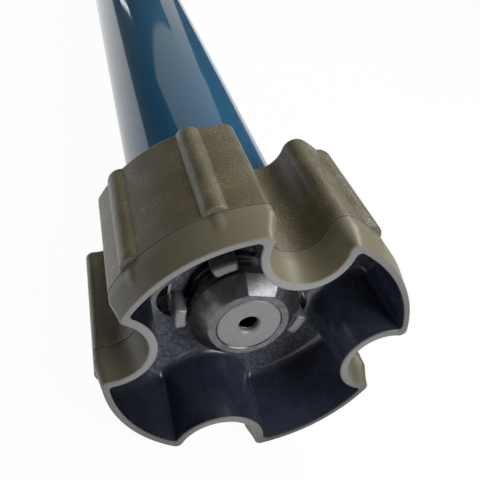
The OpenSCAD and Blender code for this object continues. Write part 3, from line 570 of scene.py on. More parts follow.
BELL_ALUMINIUM = Finish(
    "turned_aluminium", (0.62, 0.63, 0.64), (0.52, 0.53, 0.54), metallic=1.0, roughness=0.32, grain=0.2,
    depth=0.006, line=0.6, line_depth=0.006,
)
CAPACITOR_CASE = Finish(
    "capacitor_case", (0.72, 0.71, 0.66), (0.66, 0.65, 0.6), roughness=0.35, spread=0.05, grain=0.8,
    depth=0.008, patch=14.0,
)
BLACK_PLASTIC = Finish(
    "black_moulded_plastic", (0.02, 0.02, 0.022), (0.028, 0.028, 0.03), grain=0.4, depth=0.015,
)
BOARD = BoardFinish("solder_mask", (0.01, 0.09, 0.035), (0.03, 0.2, 0.08))
COIL = Finish(
    "varnished_coil", (0.6, 0.4, 0.08), (0.4, 0.24, 0.05), roughness=0.35, grain=0.3, depth=0.03, line=0.5,
    line_depth=0.03, coat=0.4,
)
RELAY_CASE = Finish(
    "relay_case", (0.02, 0.09, 0.3), (0.018, 0.07, 0.24), roughness=0.4, grain=0.4, depth=0.01,
)
TERMINAL = Finish("terminal_plastic", (0.03, 0.25, 0.08), (0.025, 0.2, 0.06), grain=0.35, depth=0.01)
RADIO = BoardFinish("radio_board", (0.012, 0.02, 0.09), (0.03, 0.05, 0.2))
RESISTOR = Finish(
    "banded_resistor", (0.55, 0.42, 0.24), (0.3, 0.08, 0.03), roughness=0.4, grain=0.3, depth=0.006,
    line=1.6, line_depth=0.002, coat=0.5,
)
BUTTON_RED = Finish(
    "button_plastic", (0.5, 0.03, 0.02), (0.42, 0.022, 0.016), roughness=0.38, spread=0.05, grain=0.3,
    depth=0.01, specks=0.03,
)
LIGHT_PIPE = Finish(
    "frosted_light_pipe", (0.75, 0.8, 0.76), (0.68, 0.75, 0.7), roughness=0.25, spread=0.05, depth=0.01,
    coat=0.6,
)

HARDENED = (BRIGHT_STEEL, Body.MOTOR, Slot.HARDENED_STEEL)
MOULDED_BLACK = (BLACK_PLASTIC, Body.MOTOR, Slot.BLACK_PLASTIC)
RUBBER_PART = (RUBBER, Body.MOTOR, Slot.BLACK_RUBBER)


@dataclass
class Sheet:
    """A grid of points, in millimetres, with rows along one parameter and columns along the other.

    Attributes:
        points: Array of shape (rows, columns, 3).
        loop_rows: Whether the last row joins the first.
        loop_columns: Whether the last column joins the first.
        marks: Values of the grid's rows, by name, which the material reads.
    """

    points: np.ndarray
    loop_rows: bool = False
    loop_columns: bool = True
    marks: dict[str, np.ndarray] = field(default_factory=dict)

    def faces(self) -> np.ndarray:
        """Numbers the corners of the grid's quads.

        Returns:
            Four indices for each quad.
        """
        rows, columns = self.points.shape[:2]
        index = np.arange(rows * columns).reshape(rows, columns)
        if self.loop_rows:
            index = np.vstack([index, index[:1]])
        if self.loop_columns:
            index = np.hstack([index, index[:, :1]])
        corners = (index[:-1, :-1], index[:-1, 1:], index[1:, 1:], index[1:, :-1])
        return np.stack(corners, -1).reshape(-1, 4)

    def values(self, name: str) -> np.ndarray:
        """Spreads a mark's values over the rows.

        Args:
            name: Name of the mark.

        Returns:
            A value for every point, 0 where the sheet lacks the mark.
        """
        rows, columns = self.points.shape[:2]
        given = np.asarray(self.marks.get(name, np.zeros(rows)), float)
        return np.broadcast_to(given[:, None], (rows, columns)).ravel()

    def moved(self, turn: np.ndarray, origin: Sequence[float]) -> "Sheet":
        """The sheet turned by a matrix whose columns are its new axes and moved to origin."""
        points = self.points @ np.asarray(turn, float).T + np.asarray(origin, float)
        return Sheet(points, self.loop_rows, self.loop_columns, self.marks)


def about_axis(radius: Any, angle: Any, station: Any) -> np.ndarray:
    """Points at a radius from the axis, at an angle in radians and at a station: (r sin a, y, r cos a)."""
    return np.stack(np.broadcast_arrays(radius * np.sin(angle), station, radius * np.cos(angle)), -1)


def radial_axes(angle: float) -> np.ndarray:
    """Axes of a piece that stands out from the motor's axis.

    Args:
        angle: Angle about the axis.

    Returns:
        Matrix that turns a piece standing along Y until it points away from the axis at that angle.
    """
    a = math.radians(angle)
    out = np.array([math.sin(a), 0.0, math.cos(a)])
    side = np.array([math.cos(a), 0.0, -math.sin(a)])
    return np.column_stack([side, out, np.array([0.0, -1.0, 0.0])])


def rounded(corners: Sequence[Triple], steps: int = 5, closed: bool = True) -> np.ndarray:
    """Outline through corners that are each turned by an arc.

    The arc's centre lies on the line that halves the corner, the radius over the sine of the half angle
    away, and the arc runs between the points where it touches the corner's two edges.

    Args:
        corners: Two coordinates and the arc's radius, for each corner in order.
        steps: Parts of each arc.
        closed: Whether the outline closes. An open one starts and ends at its end corners.

    Returns:
        Points of shape (points, 2).
    """
    table = np.array(corners, float)
    tip, radius = table[:, :2], table[:, 2]
    back, ahead = np.roll(tip, 1, 0) - tip, np.roll(tip, -1, 0) - tip
    back /= np.linalg.norm(back, axis=1)[:, None]
    ahead /= np.linalg.norm(ahead, axis=1)[:, None]
    half = np.arccos(np.clip((back * ahead).sum(1), -0.999999, 0.999999)) / 2
    middle = back + ahead
    middle /= np.maximum(np.linalg.norm(middle, axis=1), 1e-9)[:, None]
    centre = tip + middle * (radius / np.sin(half))[:, None]
    reach = (radius / np.tan(half))[:, None]
    first, last = tip + back * reach - centre, tip + ahead * reach - centre
    start = np.arctan2(first[:, 1], first[:, 0])
    sweep = (np.arctan2(last[:, 1], last[:, 0]) - start + np.pi) % (2 * np.pi) - np.pi
    angle = start[:, None] + sweep[:, None] * np.linspace(0, 1, steps + 1)
    arcs = centre[:, None] + radius[:, None, None] * np.stack([np.cos(angle), np.sin(angle)], -1)
    if closed:
        return arcs.reshape(-1, 2)
    return np.vstack([tip[:1], arcs[1:-1].reshape(-1, 2), tip[-1:]])


def turned(profile: np.ndarray, columns: int, closed: bool = True) -> Sheet:
    """Surface of revolution: each profile point (r, y) goes to (r sin a, y, r cos a) for every angle a."""
    angle = np.arange(columns) * 2 * np.pi / columns
    return Sheet(about_axis(profile[:, :1], angle, profile[:, 1:]), closed)


def spun(corners: Sequence[Triple], steps: int, columns: int) -> Sheet:
    """Turned piece, whose outline of radius, station and arc has both its ends on the axis."""
    return turned(rounded(corners, steps, False), columns, False)


def rod(radius: float, start: float, end: float, columns: int) -> Sheet:
    """Cylinder about the axis, which cuts a round hole."""
    return spun([(0, start, 0), (radius, start, 0.03), (radius, end, 0.03), (0, end, 0)], 2, columns)


def swept(section: np.ndarray, start: float, end: float, edge: float, columns: int = 24) -> Sheet:
    """A closed section (r, y) carried round the axis between two angles, with rounded and closed ends.

    Near an end the section shrinks towards its middle by edge times one minus the sine of the way that is
    left, and the end is closed at that middle.

    Args:
        section: Points of the section.
        start: First angle.
        end: Last angle.
        edge: Radius of the rounded ends.
        columns: Sections between the ends.

    Returns:
        The surface.
    """
    middle = (section.min(0) + section.max(0)) / 2
    half = (section.max(0) - section.min(0)) / 2
    lead = math.degrees(edge / middle[0])
    bend = np.linspace(0, np.pi / 2, 5)
    shrink = np.concatenate([[1.0], 1 - np.sin(bend)])
    lag = np.concatenate([[0.0], 1 - np.cos(bend)]) * lead
    body = np.linspace(start + lead, end - lead, columns)[1:-1]
    angles = np.radians(np.concatenate([start + lag, body, end - lag[::-1]]))
    inset = np.concatenate([shrink, np.zeros(len(body)), shrink[::-1]])
    scale = 1 - inset[:, None] * np.minimum(edge / half, 1)[None]
    scale[0] = scale[-1] = 0
    grid = middle + (section - middle)[None] * scale[:, None]
    return Sheet(about_axis(grid[..., 0], angles[:, None], grid[..., 1]))


def block(size: Sequence[float], centre: Sequence[float], edge: float = 0.4, steps: int = 3) -> Sheet:
    """Box with rounded edges, as a rounded rectangle carried up its height.

    Args:
        size: Lengths along X, Y and Z.
        centre: Middle of the box.
        edge: Radius of its edges.
        steps: Parts of each quarter arc.

    Returns:
        The surface.
    """
    half = np.array(size, float) / 2
    edge = min(edge, 0.49 * min(size))
    signs = ((1, 1), (-1, 1), (-1, -1), (1, -1))
    outline = rounded([(x * half[0], y * half[1], edge) for x, y in signs], steps)
    bend = np.linspace(0, np.pi / 2, steps + 1)
    inset = edge * np.concatenate([1 - np.sin(bend), (1 - np.sin(bend))[::-1]])
    rise = edge * (1 - np.cos(bend))
    height = np.concatenate([rise - half[2], (half[2] - rise)[::-1]])
    scale = 1 - inset[:, None] / half[None, :2]
    rings = outline[None] * scale[:, None]
    level = np.broadcast_to(height[:, None, None], (*rings.shape[:2], 1))
    body = np.concatenate([rings, level], -1)
    caps = [np.broadcast_to(np.array([0, 0, z]), body[:1].shape) for z in (-half[2], half[2])]
    return Sheet(np.concatenate([caps[0], body, caps[1]]) + np.array(centre, float))


def tube_along(path: np.ndarray, radius: float, sides: int) -> Sheet:
    """Round wire along a path: each point carries a ring across the path's direction, and the ends close.

    Args:
        path: Points of shape (points, 3).
        radius: Radius of the wire.
        sides: Points of a ring.

    Returns:
        The surface.
    """
    ahead = np.gradient(path, axis=0)
    ahead /= np.linalg.norm(ahead, axis=1)[:, None]
    guide = np.where(np.abs(ahead[:, 1:2]) < 0.9, np.array([[0.0, 1.0, 0.0]]), np.array([[1.0, 0.0, 0.0]]))
    side = np.cross(ahead, guide)
    side /= np.linalg.norm(side, axis=1)[:, None]
    up = np.cross(side, ahead)
    angle = np.arange(sides) * 2 * np.pi / sides
    cosine, sine = np.cos(angle)[None, :, None], np.sin(angle)[None, :, None]
    rings = path[:, None] + radius * (cosine * side[:, None] + sine * up[:, None])
    ends = [np.broadcast_to(path[i], rings[:1].shape) for i in (0, -1)]
    return Sheet(np.concatenate([ends[0], rings, ends[1]]))


def linked(name: str, data: bpy.types.ID) -> bpy.types.Object:
    """Makes an object of its data and puts it into the scene.

    Args:
        name: Name of the object.
        data: Mesh, lamp or camera.

    Returns:
        The object.
    """
    made = bpy.data.objects.new(name, data)
    bpy.context.scene.collection.objects.link(made)
    return made


def solid(name: str, sheets: Sequence[Sheet], finish: Finish, crease: float) -> bpy.types.Object:
    """Makes one object of closed sheets.

    Args:
        name: Name of the piece.
        sheets: Surfaces that bound it.
        finish: Its finish.
        crease: Angle between two faces from which the edge between them is sharp.

    Returns:
        The object, with its faces pointing outwards.
    """
    starts = np.cumsum([0] + [sheet.points.shape[0] * sheet.points.shape[1] for sheet in sheets])
    points = np.concatenate([sheet.points.reshape(-1, 3) for sheet in sheets]) * MM
    faces = np.concatenate([sheet.faces() + start for sheet, start in zip(sheets, starts)])
    mesh = bpy.data.meshes.new(name)
    mesh.from_pydata(points, [], faces)
    for mark in sorted({key for sheet in sheets for key in sheet.marks}):
        layer = mesh.attributes.new(mark, "FLOAT", "POINT")
        values = np.concatenate([sheet.values(mark) for sheet in sheets])
        layer.data.foreach_set("value", values.astype(np.float32))
    tidy_mesh(mesh, crease)
    mesh.materials.append(finish.material())
    return linked(name, mesh)


def tidy_mesh(mesh: bpy.types.Mesh, crease: float) -> None:
    """Merges doubled points, points the faces outwards and shades the mesh.

    Args:
        mesh: Mesh to change.
        crease: Angle from which an edge is sharp.
    """
    work = bmesh.new()
    work.from_mesh(mesh)
    bmesh.ops.remove_doubles(work, verts=work.verts, dist=1e-7)
    bmesh.ops.dissolve_degenerate(work, edges=work.edges, dist=1e-8)
    bmesh.ops.recalc_face_normals(work, faces=work.faces)
    work.to_mesh(mesh)
    work.free()
    mesh.polygons.foreach_set("use_smooth", np.ones(len(mesh.polygons), bool))
    mesh.set_sharp_from_angle(angle=math.radians(crease))


def drill(target: bpy.types.Object, cutters: Sequence[Sheet], crease: float) -> None:
    """Cuts closed sheets out of a piece.

    Args:
        target: Piece to cut.
        cutters: Closed surfaces, each of which is cut away.
        crease: Angle from which an edge is sharp.
    """
    cutter = solid(target.name + "_cutter", cutters, BLACK_PLASTIC, CREASE)
    modifier = target.modifiers.new("drill", "BOOLEAN")
    modifier.operation = "DIFFERENCE"
    modifier.solver = "EXACT"
    modifier.object = cutter
    depsgraph = bpy.context.evaluated_depsgraph_get()
    result = bpy.data.meshes.new_from_object(target.evaluated_get(depsgraph))
    target.modifiers.clear()
    finish = target.data.materials[0]
    target.data = result
    result.materials.clear()
    result.materials.append(finish)
    result.polygons.foreach_set("material_index", np.zeros(len(result.polygons), np.int32))
    tidy_mesh(result, crease)
    bpy.data.objects.remove(cutter)


def make_piece(
    name: str, sheets: Sequence[Sheet], finish: Finish, body: Body, slot: Slot,
    replaced: Sequence[str] = (), crease: float = CREASE, cutters: Sequence[Sheet] = (),
) -> bpy.types.Object:
    """Makes a piece, rides it on its body and hides the CAD nodes that it stands for.

    Args:
        name: Name of the piece.
        sheets: Closed surfaces that bound it.
        finish: Its finish.
        body: Body that it moves with.
        slot: Material slot of the record; not used.
        replaced: CAD nodes that it stands for.
        crease: Angle between two faces from which the edge between them is sharp.
        cutters: Closed surfaces that are cut out of it.

    Returns:
        The piece.
    """
    piece = solid(name, sheets, finish, crease)
    if cutters:
        drill(piece, cutters, crease)
    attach(piece, body.value)
    if replaced:
        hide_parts(*replaced)
    LOG.info("%s: %d faces on %s", piece.name, len(piece.data.polygons), body.value)
    return piece


class SectionWalk:
    """Collects the rows of a wall's section that an outline is carried along, from one station to the next.

    A row has its station, wall (share of the thickness, from 0 outside to 1 inside), inset (further distance
    into the wall or the hollow), step (height above the nominal radius), crest (radius of the ribs, or 0),
    corner (radius of the outline's corners) and the marks.
    """

    FIELDS = ("station", "wall", "inset", "step", "crest", "corner", *MARKS)

    def __init__(self, **start: float) -> None:
        """Starts at a station, with 0 for what isn't named."""
        self.now = {name: float(start.get(name, 0.0)) for name in self.FIELDS}
        self.rows = [dict(self.now)]

    def to(self, count: int = 1, **change: float) -> "SectionWalk":
        """Goes on in a straight line, in count rows, until the named values are reached."""
        way = np.linspace(0, 1, count + 1)[1:]
        return self._go(way, way, change)

    def bend(self, first: Direction, count: int, **change: float) -> "SectionWalk":
        """Goes on in a quarter arc: the station follows its sine and the rest its cosine, or the reverse.

        Args:
            first: What changes first.
            count: Rows of the arc.
            change: Values at the arc's end.

        Returns:
            The walk.
        """
        way = np.linspace(0, np.pi / 2, count + 1)[1:]
        sine, cosine = np.sin(way), 1 - np.cos(way)
        along, across = (sine, cosine) if first is Direction.ALONG else (cosine, sine)
        return self._go(along, across, change)

    def _go(self, along: np.ndarray, across: np.ndarray, change: Mapping[str, float]) -> "SectionWalk":
        """Adds the rows of one move.

        Args:
            along: Share of the way that each row's station has gone.
            across: The same for the other values.
            change: Values at the end.

        Returns:
            The walk.
        """
        start = dict(self.now)
        for share_along, share_across in zip(along, across):
            for name, value in change.items():
                share = share_along if name == "station" else share_across
                self.now[name] = start[name] + (value - start[name]) * share
            self.rows.append(dict(self.now))
        return self

    def table(self) -> Table:
        """The rows as one array for each field."""
        return {name: np.array([row[name] for row in self.rows]) for name in self.FIELDS}


@dataclass
class NotchedOutline:
    """Outline of an adapter across the axis: a disc with four round notches and rounded corners.

    Attributes:
        centres: Distance of each notch's centre from the axis.
        radii: Radius of each notch.
        radius: Radius of the disc.
        lobe_wall: Wall under the disc.
        notch_wall: Wall round a notch.
        bevel: Height of the body above the rim.
        swell: What is added to each lobe's radius at its start and at its end.
        soften: What is added to the radius of each notch's two corners where the body has its full height.
        rib_radius: Radius of a rib's crest.
        rib_angle: Angle from a lobe's middle to each of its ribs.
        rib_turn: Turn of the ribs of each lobe.
        rib_foot: Width of the soft foot of a rib.
        notch_columns: Points on a notch.
        corner_columns: Points on a corner.
        lobe_columns: Points on a lobe.
    """

    centres: tuple[float, ...]
    radii: tuple[float, ...]
    radius: float = 36.5
    lobe_wall: float = 1.5
    notch_wall: float = 2.0
    bevel: float = 1.3
    swell: tuple[tuple[float, float], ...] = ((0.0, 0.0),) * 4
    soften: tuple[tuple[float, float], ...] = ((0.0, 0.0),) * 4
    rib_radius: float = 3.2
    rib_angle: float = 16.3
    rib_turn: tuple[float, ...] = (0.0,) * 4
    rib_foot: float = 0.06
    notch_columns: int = 48
    corner_columns: int = 8
    lobe_columns: int = 120

    def across(
        self, radius: np.ndarray, grow: np.ndarray, corner: np.ndarray, height: np.ndarray,
    ) -> np.ndarray:
        """Points of the outline for every row.

        A corner's arc lies inside the disc and outside the notch and touches both, so its centre is radius
        minus corner from the axis and notch plus corner from the notch's centre.

        Args:
            radius: Radius of the disc, for each row.
            grow: What is added to each notch's radius, for each row.
            corner: Radius of the corners, for each row.
            height: Share of the bevel's height, for each row.

        Returns:
            Array of shape (rows, columns, 2), across X and Z.
        """
        radius, grow, corner, height = (np.asarray(v, float)[:, None] for v in (radius, grow, corner, height))
        ends = {}
        for k, (centre, notch) in enumerate(zip(self.centres, self.radii)):
            for side in (0, 1):
                lobe = self.swell[(k - 1) % 4][1] if side == 0 else self.swell[k][0]
                disc, soft = radius + lobe, corner + self.soften[k][side] * height
                reach, far = disc - soft, notch + grow + soft
                tip = np.arccos((reach**2 + centre**2 - far**2) / (2 * reach * centre))
                out, up = reach * np.sin(tip), reach * np.cos(tip)
                ends[k, side] = (disc, soft, tip, out, up, np.arctan2(out, centre - up))
        counts = (self.notch_columns, self.corner_columns, self.lobe_columns)
        on_notch, on_corner, on_lobe = (np.arange(count)[None] / count for count in counts)
        parts = []
        for k, (centre, notch) in enumerate(zip(self.centres, self.radii)):
            turn_0 = ends[k, 0][-1]
            disc, soft, tip, out, up, turn = ends[k, 1]
            disc_2, soft_2, tip_2, out_2, up_2, turn_2 = ends[(k + 1) % 4, 0]
            hollow = (turn + turn_0) * on_notch - turn_0
            bite = notch + grow
            parts.append(self._turned(bite * np.sin(hollow), centre - bite * np.cos(hollow), k))
            right = (tip + turn) * on_corner - turn
            parts.append(self._turned(out + soft * np.sin(right), up + soft * np.cos(right), k))
            lobe = tip + (np.pi / 2 - tip_2 - tip) * on_lobe
            wide = disc + (disc_2 - disc) * on_lobe**2 * (3 - 2 * on_lobe)
            parts.append(self._turned(wide * np.sin(lobe), wide * np.cos(lobe), k))
            left = tip_2 - (tip_2 + turn_2) * on_corner
            parts.append(self._turned(-out_2 - soft_2 * np.sin(left), up_2 + soft_2 * np.cos(left), k + 1))
        return np.concatenate(parts, 1)

    @staticmethod
    def _turned(side: np.ndarray, up: np.ndarray, quarters: int) -> np.ndarray:
        """Points turned about the axis by a number of quarter turns."""
        a = quarters * np.pi / 2
        return np.stack([side * math.cos(a) + up * math.sin(a), up * math.cos(a) - side * math.sin(a)], -1)

    def bearing(self, notch_half: float, corner_half: float) -> np.ndarray:
        """Angle on an inner circle that each column of the outline leads to, in radians.

        Args:
            notch_half: Half of the angle that a notch takes there.
            corner_half: Angle from a notch's middle to the end of its corner there.

        Returns:
            An angle for each column, growing by a full turn.
        """
        knots = np.array([-notch_half, notch_half, corner_half, 90 - corner_half, 90 - notch_half])
        counts = (self.notch_columns, self.corner_columns, self.lobe_columns, self.corner_columns)
        spans = zip(knots[:-1], knots[1:], counts)
        one = np.concatenate([a + (b - a) * np.arange(n) / n for a, b, n in spans])
        return np.radians(np.concatenate([one + 90 * k for k in range(4)]))

    def ribbed(self, flat: np.ndarray, crest: np.ndarray, radius: np.ndarray) -> np.ndarray:
        """Lifts the lobes where their ribs stand.

        A rib is a circle whose crest reaches the given radius. Its height above the lobe passes through a
        smooth maximum, k log(1 + exp(h / k)), which gives it a soft foot.

        Args:
            flat: Points of the outline for every row.
            crest: Radius of the crests for every row, or 0.
            radius: Radius of the lobes for every row.

        Returns:
            The lifted points.
        """
        polar = np.degrees(np.arctan2(flat[..., 0], flat[..., 1])) % 360
        turn = np.array(self.rib_turn)[(polar // 90).astype(int)]
        off = np.radians(np.abs(polar % 90 - 45 - turn) - self.rib_angle)
        middle = np.maximum(crest - self.rib_radius, 0.1)[:, None]
        room = self.rib_radius**2 - (middle * np.sin(off)) ** 2
        top = np.where(room > 0, middle * np.cos(off) + np.sqrt(np.maximum(room, 0)), 0)
        lift = self.rib_foot * np.logaddexp(0, (top - radius[:, None]) / self.rib_foot)
        lift = np.where(crest[:, None] > 0, lift, 0)
        distance = np.linalg.norm(flat, axis=-1)
        return flat * (1 + lift / distance)[..., None]

    def carried(self, rows: Table) -> np.ndarray:
        """The outline carried along a section's rows.

        Args:
            rows: The section.

        Returns:
            Points of shape (rows, columns, 3).
        """
        radius = self.radius + rows["step"] - rows["wall"] * self.lobe_wall - rows["inset"]
        grow = rows["wall"] * self.notch_wall + rows["inset"] - rows["step"]
        flat = self.across(radius, grow, rows["corner"], rows["step"] / self.bevel)
        flat = self.ribbed(flat, rows["crest"], radius)
        station = np.broadcast_to(rows["station"][:, None], flat.shape[:2])
        return np.stack([flat[..., 0], station, flat[..., 1]], -1)


def rings_about_axis(bearing: np.ndarray, radius: np.ndarray, station: Sequence[float]) -> np.ndarray:
    """Rings of points about the axis at given bearings.

    Args:
        bearing: Angle of each column, in radians.
        radius: Radius of each row, or of each row and column.
        station: Station of each row.

    Returns:
        Points of shape (rows, columns, 3).
    """
    radius = np.asarray(radius, float)
    radius = radius if radius.ndim == 2 else radius[:, None]
    return about_axis(radius, bearing, np.asarray(station, float)[:, None])


def between(first: np.ndarray, last: np.ndarray, count: int) -> np.ndarray:
    """Rows on the straight way from one row of points to another, without these two."""
    share = (np.arange(1, count + 1) / (count + 1))[:, None, None]
    return first[None] * (1 - share) + last[None] * share


@dataclass
class DriveAdapter:
    """Star-shaped cup on the output shaft, with its ribs, hub, webs and snap clips."""

    outline: NotchedOutline = field(
        default_factory=lambda: NotchedOutline(
            (32.3, 34.0, 35.0, 36.1), (8.8, 9.2, 10.5, 9.2), swell=((0.25, 0.85), (0, 0), (0, 0), (0, 0)),
            soften=((0, 1.8), (0, 0), (0, 0), (0, 0)), rib_turn=(2.5, 0.0, 0.0, -1.5),
        )
    )
    rim: float = -10.7
    bevel_end: float = -4.5
    split: float = -1.3
    back: float = 33.6
    floor: float = 11.3
    floor_back: float = 13.3
    hub_back: float = 24.45
    hub_radius: float = 17.42
    collar_radius: float = 14.3
    flat_at: float = 13.52
    hub_fit: float = 0.12
    step: float = 1.3
    crest: float = 39.3
    circle: float = 19.3
    web: float = 1.8
    web_outer: float = 35.1
    clip_angles: tuple[float, ...] = (-35.0, -102.0, 102.0, 35.0)
    clip_span: float = 22.0
    clip_inner: float = 15.0
    clip_outer: float = 18.2
    clip_tooth: float = 12.8
    clip_front: float = 3.9
    window_inner: float = 18.3
    window_at: float = 15.2
    window_radius: float = 6.2

    def build(self) -> None:
        """Makes the cup, its webs and its clips."""
        moulded = (NYLON, Body.DRIVE, Slot.ADAPTER_PLASTIC)
        windows = [self.window(angle) for angle in self.clip_angles]
        cup = make_piece("adapter_cup", [self.cup()], *moulded, ["drive_adapter"], SOFT_CREASE, windows)
        # The windows' walls get painted shade.
        self.paint_window_shade(cup.data)
        make_piece("adapter_webs", self.webs(), *moulded)
        make_piece("snap_clips", [self.clip(angle) for angle in self.clip_angles], *moulded, crease=40.0)

    def paint_window_shade(self, mesh: bpy.types.Mesh) -> None:
        """Gives the points of the drilled windows' walls the marks of the hollow behind them, which paint
        shade on them.

        Args:
            mesh: The drilled cup.
        """
        near = 0.05
        place = np.empty(len(mesh.vertices) * 3, np.float32)
        mesh.vertices.foreach_get("co", place)
        x, y, z = place.reshape(-1, 3).T / MM
        radius = np.hypot(x, z)
        walls = (radius > self.window_inner - near) & (radius < self.window_at + self.window_radius + near)
        for name, front in (("inside", self.floor - 0.1), ("hollow", self.floor + 0.5)):
            layer = mesh.attributes[name].data
            values = np.empty(len(mesh.vertices), np.float32)
            layer.foreach_get("value", values)
            values[walls & (y > front) & (y < self.floor_back + 0.1)] = 1.0
            layer.foreach_set("value", values)

    def outer_rows(self) -> Table:
        """Walks from the back edge over the ribs, the parting line, the band and the rim to the floor.

        Returns:
            The rows.
        """
        full_ribs, low_ribs = self.crest, 38.0
        walk = SectionWalk(station=self.back, step=self.step - 0.8, crest=38.3, corner=2.0, inside=0.3)
        walk.bend(Direction.ACROSS, 5, station=self.back - 0.9, step=self.step, crest=39.1, inside=0.0)
        walk.to(station=self.back - 1.6, crest=full_ribs)
        walk.to(14, station=self.split + 0.7, corner=1.8)
        # The ribs end at the parting line, which is a small groove.
        # The mark rim paints a pale line round the parting line and on the ribs' ends: a painted highlight.
        walk.to(station=self.split + 0.36, crest=39.25).to(station=self.split + 0.16, crest=39.05, rim=0.45)
        walk.to(station=self.split + 0.08, crest=38.6).to(station=self.split + 0.05, crest=low_ribs)
        walk.to(station=self.split, step=0.92, rim=0.0).to(station=self.split - 0.12)
        # The smooth front band and its bevel, on which low ribs run out.
        walk.to(station=self.split - 0.22, step=self.step - 0.03, front=1.0)
        walk.to(4, station=self.bevel_end + 0.25, crest=low_ribs)
        walk.to(station=self.bevel_end - 0.25, step=self.step - 0.08)
        walk.to(3, station=-6.4, step=0.88, crest=37.5).to(3, station=-8.2, step=0.5, crest=36.8)
        walk.to(station=-8.7, step=0.4, crest=0.0)
        walk.to(3, station=self.rim + 0.4, step=0.05, corner=1.5)
        # The rim, the pocket's wall and the fillet at its floor.
        walk.bend(Direction.ALONG, 4, station=self.rim, step=0.0, wall=0.2, rim=1.0)
        walk.to(3, wall=0.8)
        walk.bend(Direction.ACROSS, 4, station=self.rim + 0.3, wall=1.0, rim=0.6, corner=1.1)
        walk.to(station=self.rim + 0.45, rim=0.0, front=0.0, inside=1.0)
        walk.to(12, station=self.floor - 2.8, inset=0.35)
        walk.bend(Direction.ALONG, 10, station=self.floor, inset=3.1, corner=0.3, floor=1.0)
        return walk.table()

    def inner_rows(self) -> Table:
        """Walks through the hollow behind the floor, out to the back edge.

        Returns:
            The rows.
        """
        walk = SectionWalk(station=self.floor_back, wall=1.0, inset=1.3, corner=0.6, inside=1.0)
        walk.bend(Direction.ACROSS, 4, station=self.floor_back + 1.0, inset=0.3)
        walk.to(5, station=self.back - 0.5, inset=0.0, corner=1.4)
        walk.bend(Direction.ALONG, 3, station=self.back, step=0.4, inside=0.5)
        return walk.table()

    def hub_outline(self, bearing: np.ndarray, grow: float) -> np.ndarray:
        """Radius of the shaft's seat at each bearing: the smaller of a circle and four flats.

        Args:
            bearing: Angles in radians.
            grow: Distance outside the seat.

        Returns:
            A radius for each angle.
        """
        off = (bearing + np.pi / 4) % (np.pi / 2) - np.pi / 4
        flat = (self.flat_at + self.hub_fit + grow) / np.cos(off)
        return np.minimum(flat, self.collar_radius + self.hub_fit + grow)

    def cup(self) -> Sheet:
        """Joins outside, rim, pocket, floor, hub and rear hollow into one closed section round the axis.

        Returns:
            The cup's whole skin.
        """
        outer, inner = self.outer_rows(), self.inner_rows()
        skin, hollow = self.outline.carried(outer), self.outline.carried(inner)
        bearing = self.outline.bearing(34.0, 37.0)
        ring = rings_about_axis(bearing, np.array([self.circle]), [self.floor])
        seat = np.array([self.hub_outline(bearing, grow) for grow in (0.5, 0.0, 0.0, 0.3)])
        seat_stations = [self.floor, self.floor + 0.5, self.hub_back - 0.3, self.hub_back]
        bore = rings_about_axis(bearing, seat, seat_stations)
        hub_corners = [
            (self.hub_radius - 0.3, self.hub_back), (self.hub_radius, self.hub_back - 0.3),
            (self.hub_radius, self.floor_back + 1.0), (17.7, self.floor_back + 0.3),
            (18.4, self.floor_back), (self.circle, self.floor_back),
        ]
        hub = rings_about_axis(bearing, *np.transpose(hub_corners))
        parts = [skin, between(skin[-1], ring[0], 6), ring, between(ring[0], bore[0], 3)]
        parts += [bore, hub, between(hub[-1], hollow[0], 4), hollow]
        sizes = [len(part) for part in parts]
        row = np.arange(sum(sizes))
        added = (row >= len(skin)) & (row < sum(sizes[:-1]))
        behind = row >= sum(sizes[:4])
        plain = np.zeros(added.sum())
        marks = {name: np.concatenate([outer[name], plain, inner[name]]) for name in MARKS}
        marks["inside"] += added
        marks["floor"] += added & ~behind
        # Painted shade: the rows behind the floor are darkened through the mark hollow.
        marks["hollow"] = 0.8 * behind
        return Sheet(np.concatenate(parts), True, True, marks)

    def window(self, angle: float) -> Sheet:
        """Cutter of the round mould window, as far as it lies outside the clip.

        Its section is a rectangle from the clip's back to the window's circle, c cos d + sqrt(r^2 - c^2
        sin^2 d).

        Args:
            angle: The clip's angle.

        Returns:
            The cutter's skin, which ends where the circle meets the clip's back.
        """
        inner, at, wide = self.window_inner, self.window_at, self.window_radius
        end = math.acos((inner**2 + at**2 - wide**2) / (2 * inner * at))
        off = np.linspace(-end, end, 33)
        outer = at * np.cos(off) + np.sqrt(wide**2 - (at * np.sin(off)) ** 2)
        outer[[0, -1]] = inner
        radius = np.stack([outer * 0 + inner, outer, outer, outer * 0 + inner], -1)
        station = np.array([self.floor - 1, self.floor - 1, self.floor_back + 1, self.floor_back + 1])
        points = about_axis(radius, (off + math.radians(angle))[:, None], station)
        return Sheet(points, False, True, {"inside": np.ones(len(points))})

    def webs(self) -> list[Sheet]:
        """Stands the webs between the hub and the lobes, behind the floor.

        Returns:
            Two blocks for each lobe: one beside the hub and one behind it.
        """
        beside = (16.9, self.floor_back - 0.6, self.hub_back)
        behind = (18.5, self.hub_back - 1.0, self.back - 0.6)
        made = []
        for angle in DIAGONALS:
            for inner, start, end in (beside, behind):
                size = (self.web, self.web_outer - inner, end - start)
                sheet = block(size, (0, (self.web_outer + inner) / 2, 0), 0.3)
                sheet.marks["inside"] = np.ones(len(sheet.points))
                made.append(sheet.moved(radial_axes(angle), (0, (start + end) / 2, 0)))
        return made

